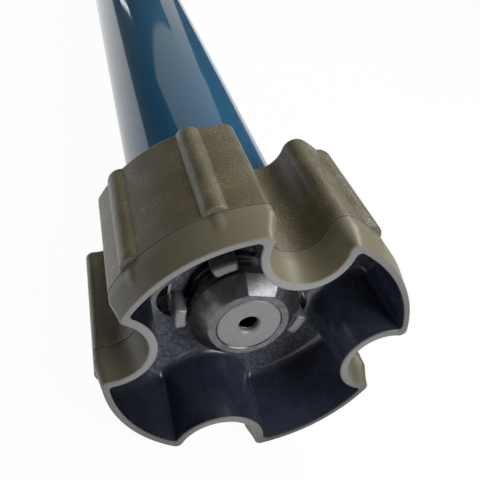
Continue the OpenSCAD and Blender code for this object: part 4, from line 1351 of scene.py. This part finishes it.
    def clip(self, angle: float) -> Sheet:
        """Carries a snap clip's section, a post with a hooked tooth, round the axis.

        Args:
            angle: The clip's angle.

        Returns:
            The clip.
        """
        foot = self.floor + 1.0
        section = rounded([
            (self.clip_outer, foot, 0.1), (self.clip_outer, self.clip_front, 1.0),
            (self.clip_inner, self.clip_front, 0.9), (self.clip_inner, 6.9, 0.1),
            (self.clip_tooth, 7.5, 0.3), (self.clip_tooth, 9.2, 0.3), (self.clip_inner, 9.4, 0.1),
            (self.clip_inner, foot, 0.1),
        ], 6)
        half = self.clip_span / 2
        grid = swept(section, angle - half, angle + half, 1.0).points.swapaxes(0, 1)
        tip = np.interp(section[:, 1], [self.clip_front + 0.6, self.clip_front + 2.2], [1.0, 0.0])
        marks = {"inside": np.ones(len(grid)), "floor": 0.15 + 0.6 * tip, "rim": 0.7 * tip}
        return Sheet(grid, True, False, marks)


@dataclass
class OutputShaft:
    """Steel shaft with its tapered nose, and the disc in its face."""

    face_radius: float = 10.4
    collar_radius: float = 14.3
    face_flat: float = 9.83
    flat_at: float = 13.52
    nose: float = 3.9
    neck_radius: float = 9.0
    pocket_radius: float = 8.3
    disc_radius: float = 8.22
    disc_back: float = 1.58
    hole_radius: float = 2.5
    side_angle: float = 26.0
    facet_half: float = 7.0
    columns: int = 360

    def build(self) -> None:
        """Makes the shaft and its disc."""
        cast = (CAST_STEEL, Body.DRIVE, Slot.SHAFT_STEEL)
        make_piece("output_shaft_steel", [self.shaft()], *cast, ["output_shaft"], FACET_CREASE)
        satin = (DISC_STEEL, Body.DRIVE, Slot.DISC_STEEL)
        make_piece("shaft_disc", [self.disc()], *satin, ["shaft_end_disc"], FINE_CREASE)

    def section(self, far: float) -> np.ndarray:
        """Walks from the screw's hole over the face, the nose, the groove and the collars to the rear end.

        Args:
            far: Distance for a flat or a facet that isn't there.

        Returns:
            Rows of station, radius, distance of the flats and distance of the side facets.
        """
        collar, flat = self.collar_radius, self.flat_at
        nose_side, face_side = (
            radius * math.cos(math.radians(self.facet_half)) for radius in (collar, self.face_radius)
        )
        front = [
            (0.0, self.face_radius - 0.25, self.face_flat - 0.2, face_side - 0.2),
            (0.08, self.face_radius - 0.08, self.face_flat - 0.06, face_side - 0.06),
            (0.25, self.face_radius + 0.15, self.face_flat + 0.13, face_side + 0.15),
            (self.nose - 0.2, collar - 0.18, flat - 0.18, nose_side - 0.18),
            (self.nose, collar, flat, nose_side), (self.nose + 0.3, collar, flat, nose_side),
        ]
        hole = [(17.9, 0.0), (17.6, 2.4), (1.75, self.hole_radius), (1.6, 2.65)]
        pocket = [(1.6, 8.25), (0.2, self.pocket_radius), (0.0, 8.5)]
        groove = [
            (6.3, collar, flat), (6.5, collar - 0.2, flat - 0.2), (6.5, 12.5, far), (6.6, 12.4, far),
            (9.8, 12.4, far), (9.9, 12.5, far), (9.9, collar - 0.2, flat - 0.2), (10.1, collar, flat),
            (24.5, collar, flat),
        ]
        rear = [
            (24.5, 15.6), (24.7, 15.8), (26.1, 15.8), (26.3, 15.6), (26.3, 9.2), (26.5, self.neck_radius),
            (51.9, self.neck_radius), (51.9, 8.2), (52.9, 8.2), (52.9, 6.6), (57.5, 6.5), (57.8, 6.2),
            (57.8, 0.0),
        ]
        rows = [*hole, *pocket, *front, *groove, *rear]
        return np.array([(*row, far, far)[:4] for row in rows])

    def shaft(self) -> Sheet:
        """Turns the section: a radius is the smallest of the circle's, the flats' and the side facets'.

        A flat at distance d from the axis is at radius d over the cosine of the angle from its middle.

        Returns:
            The shaft's skin.
        """
        far = 99.0
        right_off = 1.4
        table = self.section(far)
        angle = np.arange(self.columns) * 2 * np.pi / self.columns
        main = (angle + np.pi / 4) % (np.pi / 2) - np.pi / 4
        top = (angle + np.pi) % (2 * np.pi) - np.pi
        side = np.abs(top) - math.radians(self.side_angle)
        side = np.where(np.abs(side) < 0.3, side, right_off)
        nose = table[:, :1] < 6.4
        circle, flat, facet = (table[:, i : i + 1] for i in (1, 2, 3))
        flat = np.where(nose & (np.abs(top) > math.pi / 4), far, flat)
        radius = np.minimum(np.minimum(circle, flat / np.cos(main)), facet / np.cos(side))
        # Painted shade: the screw's hole is darkened through the mark hollow.
        in_hole = table[:, 1] < self.hole_radius + 0.1
        return Sheet(rings_about_axis(angle, radius, table[:, 0]), marks={"hollow": in_hole.astype(float)})

    def disc(self) -> Sheet:
        """Turns the disc with its chamfered edges and its countersunk hole.

        Returns:
            The disc.
        """
        outer, hole = self.disc_radius, self.hole_radius
        corners = [
            (outer, self.disc_back, 0.1), (outer, 0.3, 0.06), (outer - 0.25, 0.0, 0.08),
            (hole + 0.55, 0.0, 0.08), (hole + 0.05, 0.5, 0.1), (hole, self.disc_back, 0.1),
        ]
        return turned(rounded(corners, 3), 160)


@dataclass
class TubeAndCap:
    """Blue tube, the die-cast cap in its drive end and the rivets that hold it at both ends."""

    radius: float = 22.5
    bore: float = 21.5
    start: float = 37.5
    end: float = 477.5
    cap_front: float = 26.7
    cap_back: float = 51.5
    cap_bore: float = 11.6
    neck: float = 15.0
    spigot: float = 21.4
    rivet_angles: tuple[float, ...] = (100.0, 190.0)
    rivet_stations: tuple[float, float] = (44.5, 458.5)

    def build(self) -> None:
        """Makes the tube, the cap and the rivets."""
        paint = (BLUE_PAINT, Body.MOTOR, Slot.BLUE_PAINT)
        make_piece("blue_tube", [self.tube()], *paint, ["motor_tube"], FINE_CREASE)
        cast = (BLACK_CAST, Body.MOTOR, Slot.DIE_CAST)
        make_piece("end_cap_casting", [self.cap()], *cast, ["output_end_cap"])
        for end, station in zip(("cap", "head"), self.rivet_stations):
            heads = [self.rivet(angle, station) for angle in self.rivet_angles]
            make_piece(f"{end}_rivet_heads", heads, *HARDENED, [f"{end}_rivets"])

    def tube(self) -> Sheet:
        """The tube with its rounded lips."""
        corners = [
            (self.bore, self.start, 0.3), (self.radius, self.start, 0.45), (self.radius, self.end, 0.45),
            (self.bore, self.end, 0.3),
        ]
        return turned(rounded(corners), 192)

    def cap(self) -> Sheet:
        """Turns the end cap with its neck, flange and spigot.

        Returns:
            The cap.
        """
        flange_front = self.start - 1.5
        corners = [
            (self.cap_bore, self.cap_front, 0.3), (self.neck, self.cap_front, 0.7),
            (self.neck, flange_front, 1.2), (self.radius, flange_front, 0.7),
            (self.radius, self.start, 0.15), (self.spigot, self.start, 0.1),
            (self.spigot, self.cap_back, 0.5), (self.cap_bore, self.cap_back, 0.3),
        ]
        return turned(rounded(corners), 144)

    @staticmethod
    def rivet(angle: float, station: float) -> Sheet:
        """Turns a rivet with a low domed head and stands it on the tube.

        Args:
            angle: Angle about the axis.
            station: Station on the tube.

        Returns:
            The rivet.
        """
        shank = [(0, 18.5, 0), (1.6, 18.5, 0.3), (1.6, 22.35, 0.05)]
        corners = [*shank, (2.5, 22.4, 0.1), (2.2, 22.75, 0.3), (0, 23.0, 0)]
        return spun(corners, 4, 32).moved(radial_axes(angle), (0, station, 0))


@dataclass
class MotorHead:
    """Black head with its flange, cover, cable inlet, setting button and status light."""

    station: float = 513.5
    radius: float = 31.0
    bore: float = 11.5
    spigot: float = 21.4
    spigot_front: float = 439.5
    neck: float = 22.45
    neck_front: float = 477.5
    groove: float = 21.7
    flange_front: float = 504.5
    back: float = 522.5
    seat: float = 16.05
    button_angle: float = 0.0
    light_angle: float = 24.0
    inlet_angle: float = 90.0
    hole_circle: float = 24.0
    screw_circle: float = 13.75
    screw_angles: tuple[float, ...] = (60.0, 180.0, 300.0)

    def build(self) -> None:
        """Makes the head's pieces."""
        coated = (POWDER_COAT, Body.MOTOR, Slot.BLACK_CASTING)
        make_piece("head_flange", [self.casting()], *coated, ["head_casting"], cutters=self.holes())
        sunk = self.at_screws(rod(1.95, 521.2, 523.5, 40))
        make_piece("head_end_cover", [self.cover()], *MOULDED_BLACK, ["head_cover"], cutters=sunk)
        slots = self.at_screws(block((0.55, 1.4, 5.0), (0, 522.4, 0), 0.05, 1))
        screws = self.at_screws(self.screw())
        make_piece("cover_screw_set", screws, *HARDENED, ["cover_screws"], cutters=slots)
        make_piece("cable_grommet_ring", [self.grommet()], *RUBBER_PART, ["cable_grommet"])
        red = (BUTTON_RED, Body.BUTTON, Slot.BUTTON_RED)
        make_piece("setting_button_cap", [self.button()], *red, ["setting_button"])
        clear = (LIGHT_PIPE, Body.MOTOR, Slot.LIGHT_CLEAR)
        make_piece("status_light_lens", [self.light()], *clear, ["status_light"])

    def casting(self) -> Sheet:
        """Turns the head: spigot, neck with the ring's groove, flange and the cover's seat.

        Returns:
            The casting before its holes are drilled.
        """
        groove_front, groove_back, seat_depth = self.neck_front + 0.4, self.neck_front + 1.4, 2.5
        corners = [
            (self.bore, self.spigot_front, 0.3), (self.spigot, self.spigot_front, 0.6),
            (self.spigot, self.neck_front - 0.05, 0.05), (self.neck, self.neck_front, 0.05),
            (self.neck, groove_front, 0.05), (self.groove, groove_front, 0.05),
            (self.groove, groove_back, 0.05), (self.neck, groove_back, 0.05),
            (self.neck, self.flange_front, 0.6), (self.radius, self.flange_front, 1.4),
            (self.radius, self.back, 1.8), (self.seat, self.back, 0.25),
            (self.seat, self.back - seat_depth, 0.1), (self.bore, self.back - seat_depth, 0.3),
        ]
        return turned(rounded(corners), 192)

    @staticmethod
    def beside(sheet: Sheet, circle: float, angle: float) -> Sheet:
        """A piece about the axis, moved to a circle about the axis at an angle."""
        return sheet.moved(UNTURNED, about_axis(circle, math.radians(angle), 0.0))

    def at_screws(self, sheet: Sheet) -> list[Sheet]:
        """A piece about the axis, moved to every cover screw."""
        return [self.beside(sheet, self.screw_circle, angle) for angle in self.screw_angles]

    def standing(self, sheet: Sheet, angle: float) -> Sheet:
        """A piece about the axis, stood out from the flange's middle at an angle."""
        return sheet.moved(radial_axes(angle), (0, self.station, 0))

    def holes(self) -> list[Sheet]:
        """Shapes all holes of the flange.

        Returns:
            The tapped and countersunk mounting holes, the inlet, and the holes of the button and the light.
        """
        profile = np.array([(0, 508.5), (2.5, 509.5), (2.5, 521.7), (3.6, 522.8), (3.6, 524.0), (0, 524.0)])
        tapped = turned(profile, 48, False)
        holes = [self.beside(tapped, self.hole_circle, angle) for angle in DIAGONALS]
        for angle, radius, start in (
            (self.inlet_angle, 5.05, 10.5), (self.button_angle, 3.65, 22.4), (self.light_angle, 1.52, 25.0)
        ):
            holes.append(self.standing(rod(radius, start, self.radius + 1, 48), angle))
        return holes

    @staticmethod
    def cover() -> Sheet:
        """The end cover with a raised edge round a shallow dish."""
        corners = [
            (0, 520.02, 0), (15.95, 520.02, 0.2), (15.95, 522.45, 0.3), (11.6, 522.45, 0.3),
            (11.0, 521.85, 0.4), (0, 521.85, 0),
        ]
        return spun(corners, 4, 128)

    @staticmethod
    def screw() -> Sheet:
        """Turns a cover screw with a cheese head.

        Returns:
            The screw, about the axis.
        """
        head, top = 521.3, 522.4
        shank = [(0, 513.0, 0), (1.2, 513.3, 0.2), (1.2, head, 0.05)]
        corners = [*shank, (1.8, head, 0.1), (1.8, top, 0.35), (0, top, 0)]
        return spun(corners, 4, 40)

    def grommet(self) -> Sheet:
        """The rubber grommet with its rounded collar, in the cable inlet."""
        corners = [
            (3.3, 12.6, 0.3), (5.0, 12.6, 0.3), (5.0, 30.95, 0.1), (6.4, 31.0, 0.2), (6.3, 32.1, 0.5),
            (4.6, 32.15, 0.3), (3.3, 31.2, 0.4),
        ]
        return self.standing(turned(rounded(corners), 64), self.inlet_angle)

    def button(self) -> Sheet:
        """The setting button with a rounded rim and a dished top, in its hole."""
        corners = [
            (0, 27.4, 0), (3.55, 27.4, 0.3), (3.55, 32.4, 0.6), (2.4, 32.35, 0.4), (1.6, 32.05, 1.0),
            (0, 31.95, 0),
        ]
        return self.standing(spun(corners, 5, 64), self.button_angle)

    def light(self) -> Sheet:
        """The light pipe with a domed end, in its hole."""
        corners = [(0, 25.1, 0), (1.48, 25.1, 0.1), (1.48, 30.7, 0.5), (0, 31.15, 0)]
        return self.standing(spun(corners, 6, 40), self.light_angle)


@dataclass
class CrownEnd:
    """Adapter on the limit crown, its stop lips and the ring in front of it."""

    outline: NotchedOutline = field(
        default_factory=lambda: NotchedOutline(
            (37.8,) * 4, (5.0,) * 4, radius=37.8, lobe_wall=2.8, notch_columns=28, lobe_columns=128
        )
    )
    front: float = 481.3
    back: float = 499.3
    hub_radius: float = 29.05
    bore: float = 26.05
    crest: float = 39.3
    lip_radius: float = 40.4
    lip_end: float = 501.3
    lip_half: float = 8.0
    ring_radii: tuple[float, float] = (21.75, 24.1)
    ring_stations: tuple[float, float] = (477.95, 478.85)
    ring_gap: float = 6.0

    def build(self) -> None:
        """Makes the crown's pieces."""
        moulded = (NYLON, Body.CROWN, Slot.ADAPTER_PLASTIC)
        make_piece("crown_adapter_shell", [self.shell()], *moulded, ["crown_adapter"], SOFT_CREASE)
        make_piece("crown_stop_lips", self.lips(), *moulded, crease=SOFT_CREASE)
        hardened = (BLACK_STEEL, Body.MOTOR, Slot.SPRING_STEEL)
        make_piece("crown_circlip", [self.ring()], *hardened, ["crown_retaining_ring"])

    def shell(self) -> Sheet:
        """Joins outside, hollow in front of the web, hub and bore into one closed section round the axis.

        Returns:
            The adapter's skin.
        """
        walk = SectionWalk(station=self.back, wall=1.2, corner=1.6)
        walk.to(wall=0.25, crest=38.0)
        walk.bend(Direction.ACROSS, 4, station=self.back - 0.7, wall=0.0, crest=39.1)
        walk.to(station=self.back - 1.2, crest=self.crest).to(8, station=self.front + 1.2)
        walk.to(station=self.front + 0.7, crest=39.1)
        walk.bend(Direction.ALONG, 4, station=self.front, wall=0.25, crest=38.0)
        walk.to(2, wall=0.75, crest=0.0)
        walk.bend(Direction.ACROSS, 3, station=self.front + 0.4, wall=1.0, inside=1.0)
        walk.to(5, station=self.back - 2.6)
        walk.bend(Direction.ALONG, 3, station=self.back - 2.0, inset=0.35, corner=0.8)
        rows = walk.table()
        skin = self.outline.carried(rows)
        hub_corners = [
            (self.hub_radius + 0.1, self.back - 2.0), (self.hub_radius, self.back - 2.4),
            (self.hub_radius, self.front + 0.3), (self.hub_radius - 0.3, self.front),
            (self.bore + 0.3, self.front), (self.bore, self.front + 0.3), (self.bore, self.back - 0.4),
            (self.bore + 0.4, self.back),
        ]
        hub = rings_about_axis(self.outline.bearing(11.5, 13.0), *np.transpose(hub_corners))
        points = np.concatenate([skin, between(skin[-1], hub[0], 2), hub, between(hub[-1], skin[0], 2)])
        plain = np.zeros(len(points) - len(skin))
        marks = {name: np.concatenate([rows[name], plain]) for name in MARKS}
        marks["inside"][len(skin):-3] = 1.0
        return Sheet(points, True, True, marks)

    def lips(self) -> list[Sheet]:
        """Carries the section of the lips that the roller tube's end meets round parts of the axis.

        Returns:
            Four lips.
        """
        front = self.back - 0.3
        section = rounded([
            (self.hub_radius, front, 0.1), (self.lip_radius, front, 0.3),
            (self.lip_radius, self.lip_end, 0.5), (self.hub_radius, self.lip_end, 0.5),
        ], 4)
        half = self.lip_half
        return [swept(section, angle - half, angle + half, 0.5, 12) for angle in DIAGONALS]

    def ring(self) -> Sheet:
        """Carries the retaining ring's section round the axis, up to its gap.

        Returns:
            The ring.
        """
        (inner, outer), (front, back) = self.ring_radii, self.ring_stations
        corners = [(inner, front, 0.15), (outer, front, 0.2), (outer, back, 0.2), (inner, back, 0.15)]
        return swept(rounded(corners, 3), self.ring_gap, 360 - self.ring_gap, 0.4, 120)


@dataclass
class Motor:
    """Round details of the brake and of the electric motor: spring, wound strands and lacing."""

    spring_radius: float = 6.8
    spring_wire: float = 0.6
    spring_start: float = 100.3
    spring_end: float = 108.7
    spring_turns: float = 5.0
    head_stations: tuple[float, ...] = (124.4, 216.0)
    head_radius: float = 15.7
    head_half: tuple[float, float] = (3.1, 5.6)
    head_power: float = 0.6
    strand_turns: int = 64
    strand: float = 0.38
    lacings: int = 12
    lacing_radius: float = 0.3

    def build(self) -> None:
        """Makes the motor's details."""
        sprung = (BRIGHT_STEEL, Body.MOTOR, Slot.SPRING_STEEL)
        make_piece("brake_coil_spring", [self.spring()], *sprung, ["brake_spring"])
        strands = [self.wound(y, turn) for y in self.head_stations for turn in (0.0, 0.5)]
        make_piece("winding_strands", strands, COPPER, Body.MOTOR, Slot.COPPER)
        turns = np.arange(self.lacings) * 2 * np.pi / self.lacings
        cords = [self.laced(y, turn) for y in self.head_stations for turn in turns]
        make_piece("winding_lacing", cords, ACETAL, Body.MOTOR, Slot.COPPER)

    def spring(self) -> Sheet:
        """Bends the wire to a helix whose height grows evenly with its angle.

        Returns:
            The spring.
        """
        share = np.linspace(0, 1, 220)
        height = self.spring_start + (self.spring_end - self.spring_start) * share
        path = about_axis(self.spring_radius, share * self.spring_turns * 2 * np.pi, height)
        return tube_along(path, self.spring_wire, 12)

    def around_head(self, around: np.ndarray, about: np.ndarray, station: float, grow: float) -> np.ndarray:
        """Points on a winding head, whose section is a half size times a power of the sine or the cosine.

        Args:
            around: Angle round the head's section.
            about: Angle about the motor's axis.
            station: Middle of the head.
            grow: Distance outside the section.

        Returns:
            Points of shape (points, 3).
        """
        wide, long = (half + grow for half in self.head_half)
        across = wide * np.sign(np.cos(around)) * np.abs(np.cos(around)) ** self.head_power
        along = long * np.sign(np.sin(around)) * np.abs(np.sin(around)) ** self.head_power
        return about_axis(self.head_radius + across, about, station + along)

    def wound(self, station: float, turn: float) -> Sheet:
        """Winds a strand round a head, once about the axis.

        Args:
            station: Middle of the head.
            turn: Share of a turn that it lags behind.

        Returns:
            The strand.
        """
        share = np.linspace(0, 1, 22 * self.strand_turns)
        about = (share + turn / self.strand_turns) * 2 * np.pi
        path = self.around_head(share * self.strand_turns * 2 * np.pi, about, station, 0.0)
        return tube_along(path, self.strand, 6)

    def laced(self, station: float, turn: float) -> Sheet:
        """Ties a cord round a head.

        Args:
            station: Middle of the head.
            turn: Angle about the axis, in radians.

        Returns:
            The cord.
        """
        around = np.linspace(0, 2.1 * np.pi, 30)
        path = self.around_head(around, turn + 0.02 * around, station, 0.45)
        return tube_along(path, self.lacing_radius, 6)


@dataclass
class Electronics:
    """Small parts round the capacitor and on the board, and the wires between them."""

    board_top: float = -5.9
    resistor_radius: float = 1.15
    resistor_half: float = 3.2
    fuse_at: tuple[float, float] = (-14.3, 328.0)
    fuse_half: float = 9.0
    terminal_pitch: float = 4.0
    tag_stations: tuple[float, float] = (299.0, 316.0)

    def build(self) -> None:
        """Makes the electrical details."""
        core = block((22.7, 11.5, 15.3), (0, 328.4, 1.8), 0.5)
        make_piece("transformer_core", [core], LAMINATIONS, Body.MOTOR, Slot.LAMINATIONS)
        make_piece("axial_resistors", self.resistors(), RESISTOR, Body.MOTOR, Slot.CAPACITOR_WHITE)
        cans = [self.can(13.2, 371.0, 3.2, 10.0), self.can(-13.4, 371.5, 2.6, 8.0)]
        make_piece("electrolytic_capacitors", cans, *MOULDED_BLACK)
        film = block((13.0, 4.6, 9.0), (0, 342.2, self.board_top + 4.5), 0.6)
        make_piece("film_capacitor", [film], RELAY_CASE, Body.MOTOR, Slot.RELAY_BLUE)
        make_piece("board_fuse", [self.fuse()], *HARDENED)
        levers = [block((2.9, 6.4, 1.5), (self.terminal_pitch * k, 408.6, 4.4)) for k in range(-2, 3)]
        make_piece("terminal_levers", levers, COIL, Body.MOTOR, Slot.COIL_YELLOW)
        tags = [block((0.8, 5.6, 5.0), (x, 296.6, z), 0.2) for x in (-4.5, 4.5) for z in (-2.2, 3.4)]
        make_piece("capacitor_tags", tags, *HARDENED)
        make_piece("hook_up_wires", self.wires(), *RUBBER_PART)

    def resistors(self) -> list[Sheet]:
        """Shapes two rows of resistors, whose bodies have thicker ends and bent leads.

        Returns:
            The bodies, each before its two leads.
        """
        half, radius, waist = self.resistor_half, self.resistor_radius, 0.86 * self.resistor_radius
        outline = [
            (0, -half, 0), (radius, -half, 0.5), (radius, -half + 1.4, 0.5), (waist, -half + 1.9, 0.5),
            (waist, half - 1.9, 0.5), (radius, half - 1.4, 0.5), (radius, half, 0.5), (0, half, 0),
        ]
        body = spun(outline, 3, 20)
        lead = np.array([(0, -0.3, 0), (0, 1.0, 0), (0, 1.5, -0.4), (0, 1.6, -1.9)]) + (0, half, 0)
        made = []
        for x in (-14.6, -11.4, 11.4, 14.6):
            for y in (380.0, 393.0):
                place = (x, y, self.board_top + radius + 0.25)
                made.append(body.moved(UNTURNED, place))
                made += [tube_along(lead * (1, side, 1) + place, 0.3, 6) for side in (-1, 1)]
        return made

    def can(self, x: float, y: float, radius: float, height: float) -> Sheet:
        """Turns an electrolytic capacitor that stands on the board, with its rolled groove.

        Args:
            x: Place across the board.
            y: Station on the board.
            radius: Radius of the can.
            height: Height of the can.

        Returns:
            The capacitor.
        """
        sunk_top = height - 0.25
        outline = [
            (0, 0, 0), (radius, 0, 0.4), (radius, 1.2, 0.3), (radius - 0.3, 1.6, 0.3), (radius, 2.0, 0.3),
            (radius, height, 0.5), (radius - 0.6, height, 0.1), (radius - 0.7, sunk_top, 0.1),
            (0, sunk_top, 0),
        ]
        return spun(outline, 3, 40).moved(radial_axes(0), (x, y, self.board_top))

    def fuse(self) -> Sheet:
        """Turns a fuse with a cap at each end.

        Returns:
            The fuse, on the board.
        """
        cap, glass, half = 1.9, 1.65, self.fuse_half
        outline = [
            (0, -half, 0), (cap, -half, 0.4), (cap, -5.2, 0.15), (glass, -5.1, 0.1), (glass, 5.1, 0.1),
            (cap, 5.2, 0.15), (cap, half, 0.4), (0, half, 0),
        ]
        return spun(outline, 3, 28).moved(UNTURNED, (*self.fuse_at, self.board_top + 2.0))

    def wires(self) -> list[Sheet]:
        """Lays the wires from the capacitor to the board, and from the terminals to the cable inlet.

        Returns:
            Two wires at the capacitor and four at the terminals.
        """
        leave, meet = self.tag_stations
        courses = [
            ((-4.5, leave, 0.6), (-6.0, 306.0, 1.0), (-9.0, 312.0, -2.0), (-10.0, meet, -5.6)),
            ((4.5, leave, 0.6), (5.0, 306.0, 3.0), (9.5, 311.0, -1.0), (10.5, meet, -5.6)),
        ]
        for k in (-2, -1, 0, 1):
            start = (self.terminal_pitch * k, 412.0, -3.6)
            courses.append((start, (4.2 * k, 422.0, -2.0), (2.6 * k, 431.0, 2.0), (2.4 * k, 446.0, 0.0)))
        return [self.wire(course) for course in courses]

    @staticmethod
    def wire(course: Sequence[Sequence[float]]) -> Sheet:
        """Lays a wire on the cubic curve of four points, each weighed by its Bernstein polynomial.

        Args:
            course: Start, two guides and end of the curve.

        Returns:
            The wire.
        """
        share = np.linspace(0, 1, 28)[:, None]
        rest = 1 - share
        weights = (rest**3, 3 * share * rest**2, 3 * share**2 * rest, share**3)
        path = sum(weight * np.array(point) for weight, point in zip(weights, course))
        return tube_along(path, 0.85, 12)


CAD_FINISHES: dict[Finish, tuple[str, ...]] = {
    BLACK_STEEL: ("shaft_retaining_ring",),
    GEAR_STEEL: (
        "output_carrier", "first_carrier", "output_sun", "gearbox_housing", "gearbox_cover", "brake_disc",
        "brake_armature", "brake_housing",
    ),
    ACETAL: (
        "output_planet_1", "output_planet_2", "output_planet_3", "first_planet_1", "first_planet_2",
        "first_planet_3", "encoder_pinion",
    ),
    BRIGHT_STEEL: (
        "output_planet_pins", "first_planet_pins", "brake_guide_pins", "bearing_outer_rings",
        "bearing_inner_rings", "bearing_balls", "rotor_shaft",
    ),
    BRONZE: ("front_bush", "rear_bush"),
    RUBBER: ("shaft_seal",),
    FRICTION: ("brake_lining",),
    BELL_ALUMINIUM: ("front_end_bell", "rear_end_bell", "rotor_end_rings"),
    LAMINATIONS: ("stator_core", "rotor_core"),
    COPPER: ("stator_winding",),
    CAPACITOR_CASE: ("run_capacitor",),
    BLACK_PLASTIC: (
        "capacitor_holders", "electronics_tray", "electronics_cover", "button_switch", "limit_crown",
    ),
    BOARD: ("circuit_board",),
    COIL: ("power_transformer",),
    RELAY_CASE: ("relays",),
    TERMINAL: ("terminal_block",),
    RADIO: ("radio_module",),
}


def dress_solids() -> None:
    """Gives every CAD node that stays in view its finish."""
    for finish, nodes in CAD_FINISHES.items():
        for node in nodes:
            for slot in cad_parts[node].material_slots:
                slot.material = finish.material()
            LOG.info("%s keeps its solid and gets %s", node, finish.name)


@dataclass(frozen=True)
class Lamp:
    """Soft lamp that faces the drive end.

    Attributes:
        name: Name of the lamp.
        bearing: Direction that it hangs in, from +Y towards +X.
        height: Angle above the horizon, beyond 90 on the side of -Y.
        distance: Distance from the drive end.
        size: Width and height of its panel.
        radiance: Brightness of the panel, where 1 is white.
        shift: Shift of the panel in its own plane, to the right and up as seen from the drive end.
        tint: Colour of the light.
    """

    name: str
    bearing: float
    height: float
    distance: float
    size: tuple[float, float]
    radiance: float
    shift: tuple[float, float] = (0.0, 0.0)
    tint: Colour = WHITE

    def hang(self) -> None:
        """Makes the lamp; its power is radiance times pi times the panel's area."""
        turn, rise = math.radians(self.bearing), math.radians(self.height)
        flat = math.cos(rise)
        ray = Vector((flat * math.sin(turn), flat * math.cos(turn), math.sin(rise)))
        data = bpy.data.lights.new(self.name, "AREA")
        data.shape = "RECTANGLE"
        data.color = self.tint
        data.size, data.size_y = (length * MM for length in self.size)
        data.energy = self.radiance * math.pi * data.size * data.size_y
        right = Vector((math.cos(turn), -math.sin(turn), 0.0))
        middle = Vector(AIM) + ray * self.distance + right * self.shift[0] + right.cross(ray) * self.shift[1]
        made = linked(self.name, data)
        made.location = middle * MM
        made.rotation_euler = Matrix((right, ray.cross(right), ray)).transposed().to_euler()
        made.visible_camera = False


@dataclass
class Studio:
    """Pale floor, soft lamps and the camera at the photograph's viewing angle."""

    floor_height: float = -37.5
    floor_half: float = 4000.0
    floor_glow: float = 0.97
    camera_at: Triple = (-58.4430, -93.9932, 94.7139)
    camera_right: Triple = (0.92129978, -0.24207658, 0.30431175)
    camera_up: Triple = (-0.09439236, 0.61995506, 0.7789389)
    camera_ahead: Triple = (0.37722248, 0.74636094, -0.54831428)
    lens: float = 43.80
    sensor: float = 36.0
    near: float = 5.0
    world: float = 0.14
    mirrored_world: float = 0.05
    lamps: tuple[Lamp, ...] = (
        Lamp("key", -33.0, 139.0, 600.0, (420, 420), 5.8),
        Lamp("right", 50.0, 50.0, 700.0, (330, 330), 6.0),
        Lamp("ceiling", 0.0, 35.0, 1600.0, (1240, 930), 0.6, (0, 135), WARM),
        Lamp("window", 0.0, 35.0, 1600.0, (340, 570), 0.6, (400, -615), WARM),
        Lamp("strip", -17.0, 9.0, 1600.0, (36, 150), 3.5),
    )

    def build(self) -> None:
        """Makes the floor, the lamps, the world and the camera."""
        bpy.context.scene.view_settings.view_transform = "Standard"
        self.floor()
        self.camera()
        self.surroundings()
        for lamp in self.lamps:
            lamp.hang()

    def floor(self) -> None:
        """Makes a floor that shows nearly plain white to the camera and keeps a part of its shadows."""
        half, level = self.floor_half * MM, self.floor_height * MM
        mesh = bpy.data.meshes.new("studio_floor")
        corners = [(x * half, y * half, level) for x, y in ((-1, -1), (1, -1), (1, 1), (-1, 1))]
        mesh.from_pydata(corners, [], [(0, 1, 2, 3)])
        graph = Graph(bpy.data.materials.new("white_floor"))
        graph.set(Base_Color=(0.9, 0.9, 0.9), Roughness=0.9, Specular_IOR_Level=0.1)
        seen = graph.ray("Is Camera Ray") + graph.ray("Is Glossy Ray") + graph.ray("Is Transmission Ray")
        glow = graph.node("ShaderNodeEmission", {}, {"Color": WHITE, "Strength": 1.0})
        shaders = {0: seen * self.floor_glow, 1: Wire(graph, graph.shader.outputs[0]), 2: glow}
        mixed = graph.node("ShaderNodeMixShader", {}, shaders)
        graph.tree.links.new(mixed.socket, graph.tree.nodes["Material Output"].inputs["Surface"])
        mesh.materials.append(graph.owner)
        linked("studio_floor", mesh)

    def camera(self) -> None:
        """Stands the camera at the photograph's viewing angle."""
        data = bpy.data.cameras.new("camera")
        data.lens = self.lens
        data.sensor_width = self.sensor
        data.clip_start = self.near * MM
        axes = Matrix((self.camera_right, self.camera_up, -Vector(self.camera_ahead))).transposed()
        made = linked("camera", data)
        made.matrix_world = Matrix.Translation(Vector(self.camera_at) * MM) @ axes.to_4x4()
        bpy.context.scene.camera = made

    def surroundings(self) -> None:
        """Makes the world: white to the camera, a plain level of light, and dimmer in reflections."""
        world = bpy.data.worlds.new("studio_world")
        bpy.context.scene.world = world
        graph = Graph(world, "Background")
        seen = graph.ray("Is Camera Ray").larger(graph.ray("Is Transmission Ray"))
        level = graph.ray("Is Glossy Ray").spread(self.world, self.mirrored_world)
        graph.set(Color=WHITE, Strength=seen.spread(level, 1.0))


def write_sizes() -> None:
    """Updates the view layer."""
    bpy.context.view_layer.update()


def main() -> None:
    """Builds the sub-assemblies, dresses the remaining solids and sets up the studio."""
    logging.basicConfig(level=logging.INFO, format="%(message)s")
    for assembly in (DriveAdapter, OutputShaft, TubeAndCap, MotorHead, CrownEnd, Motor, Electronics):
        assembly().build()
    dress_solids()
    Studio().build()
    write_sizes()


if __name__ == "__main__":
    main()
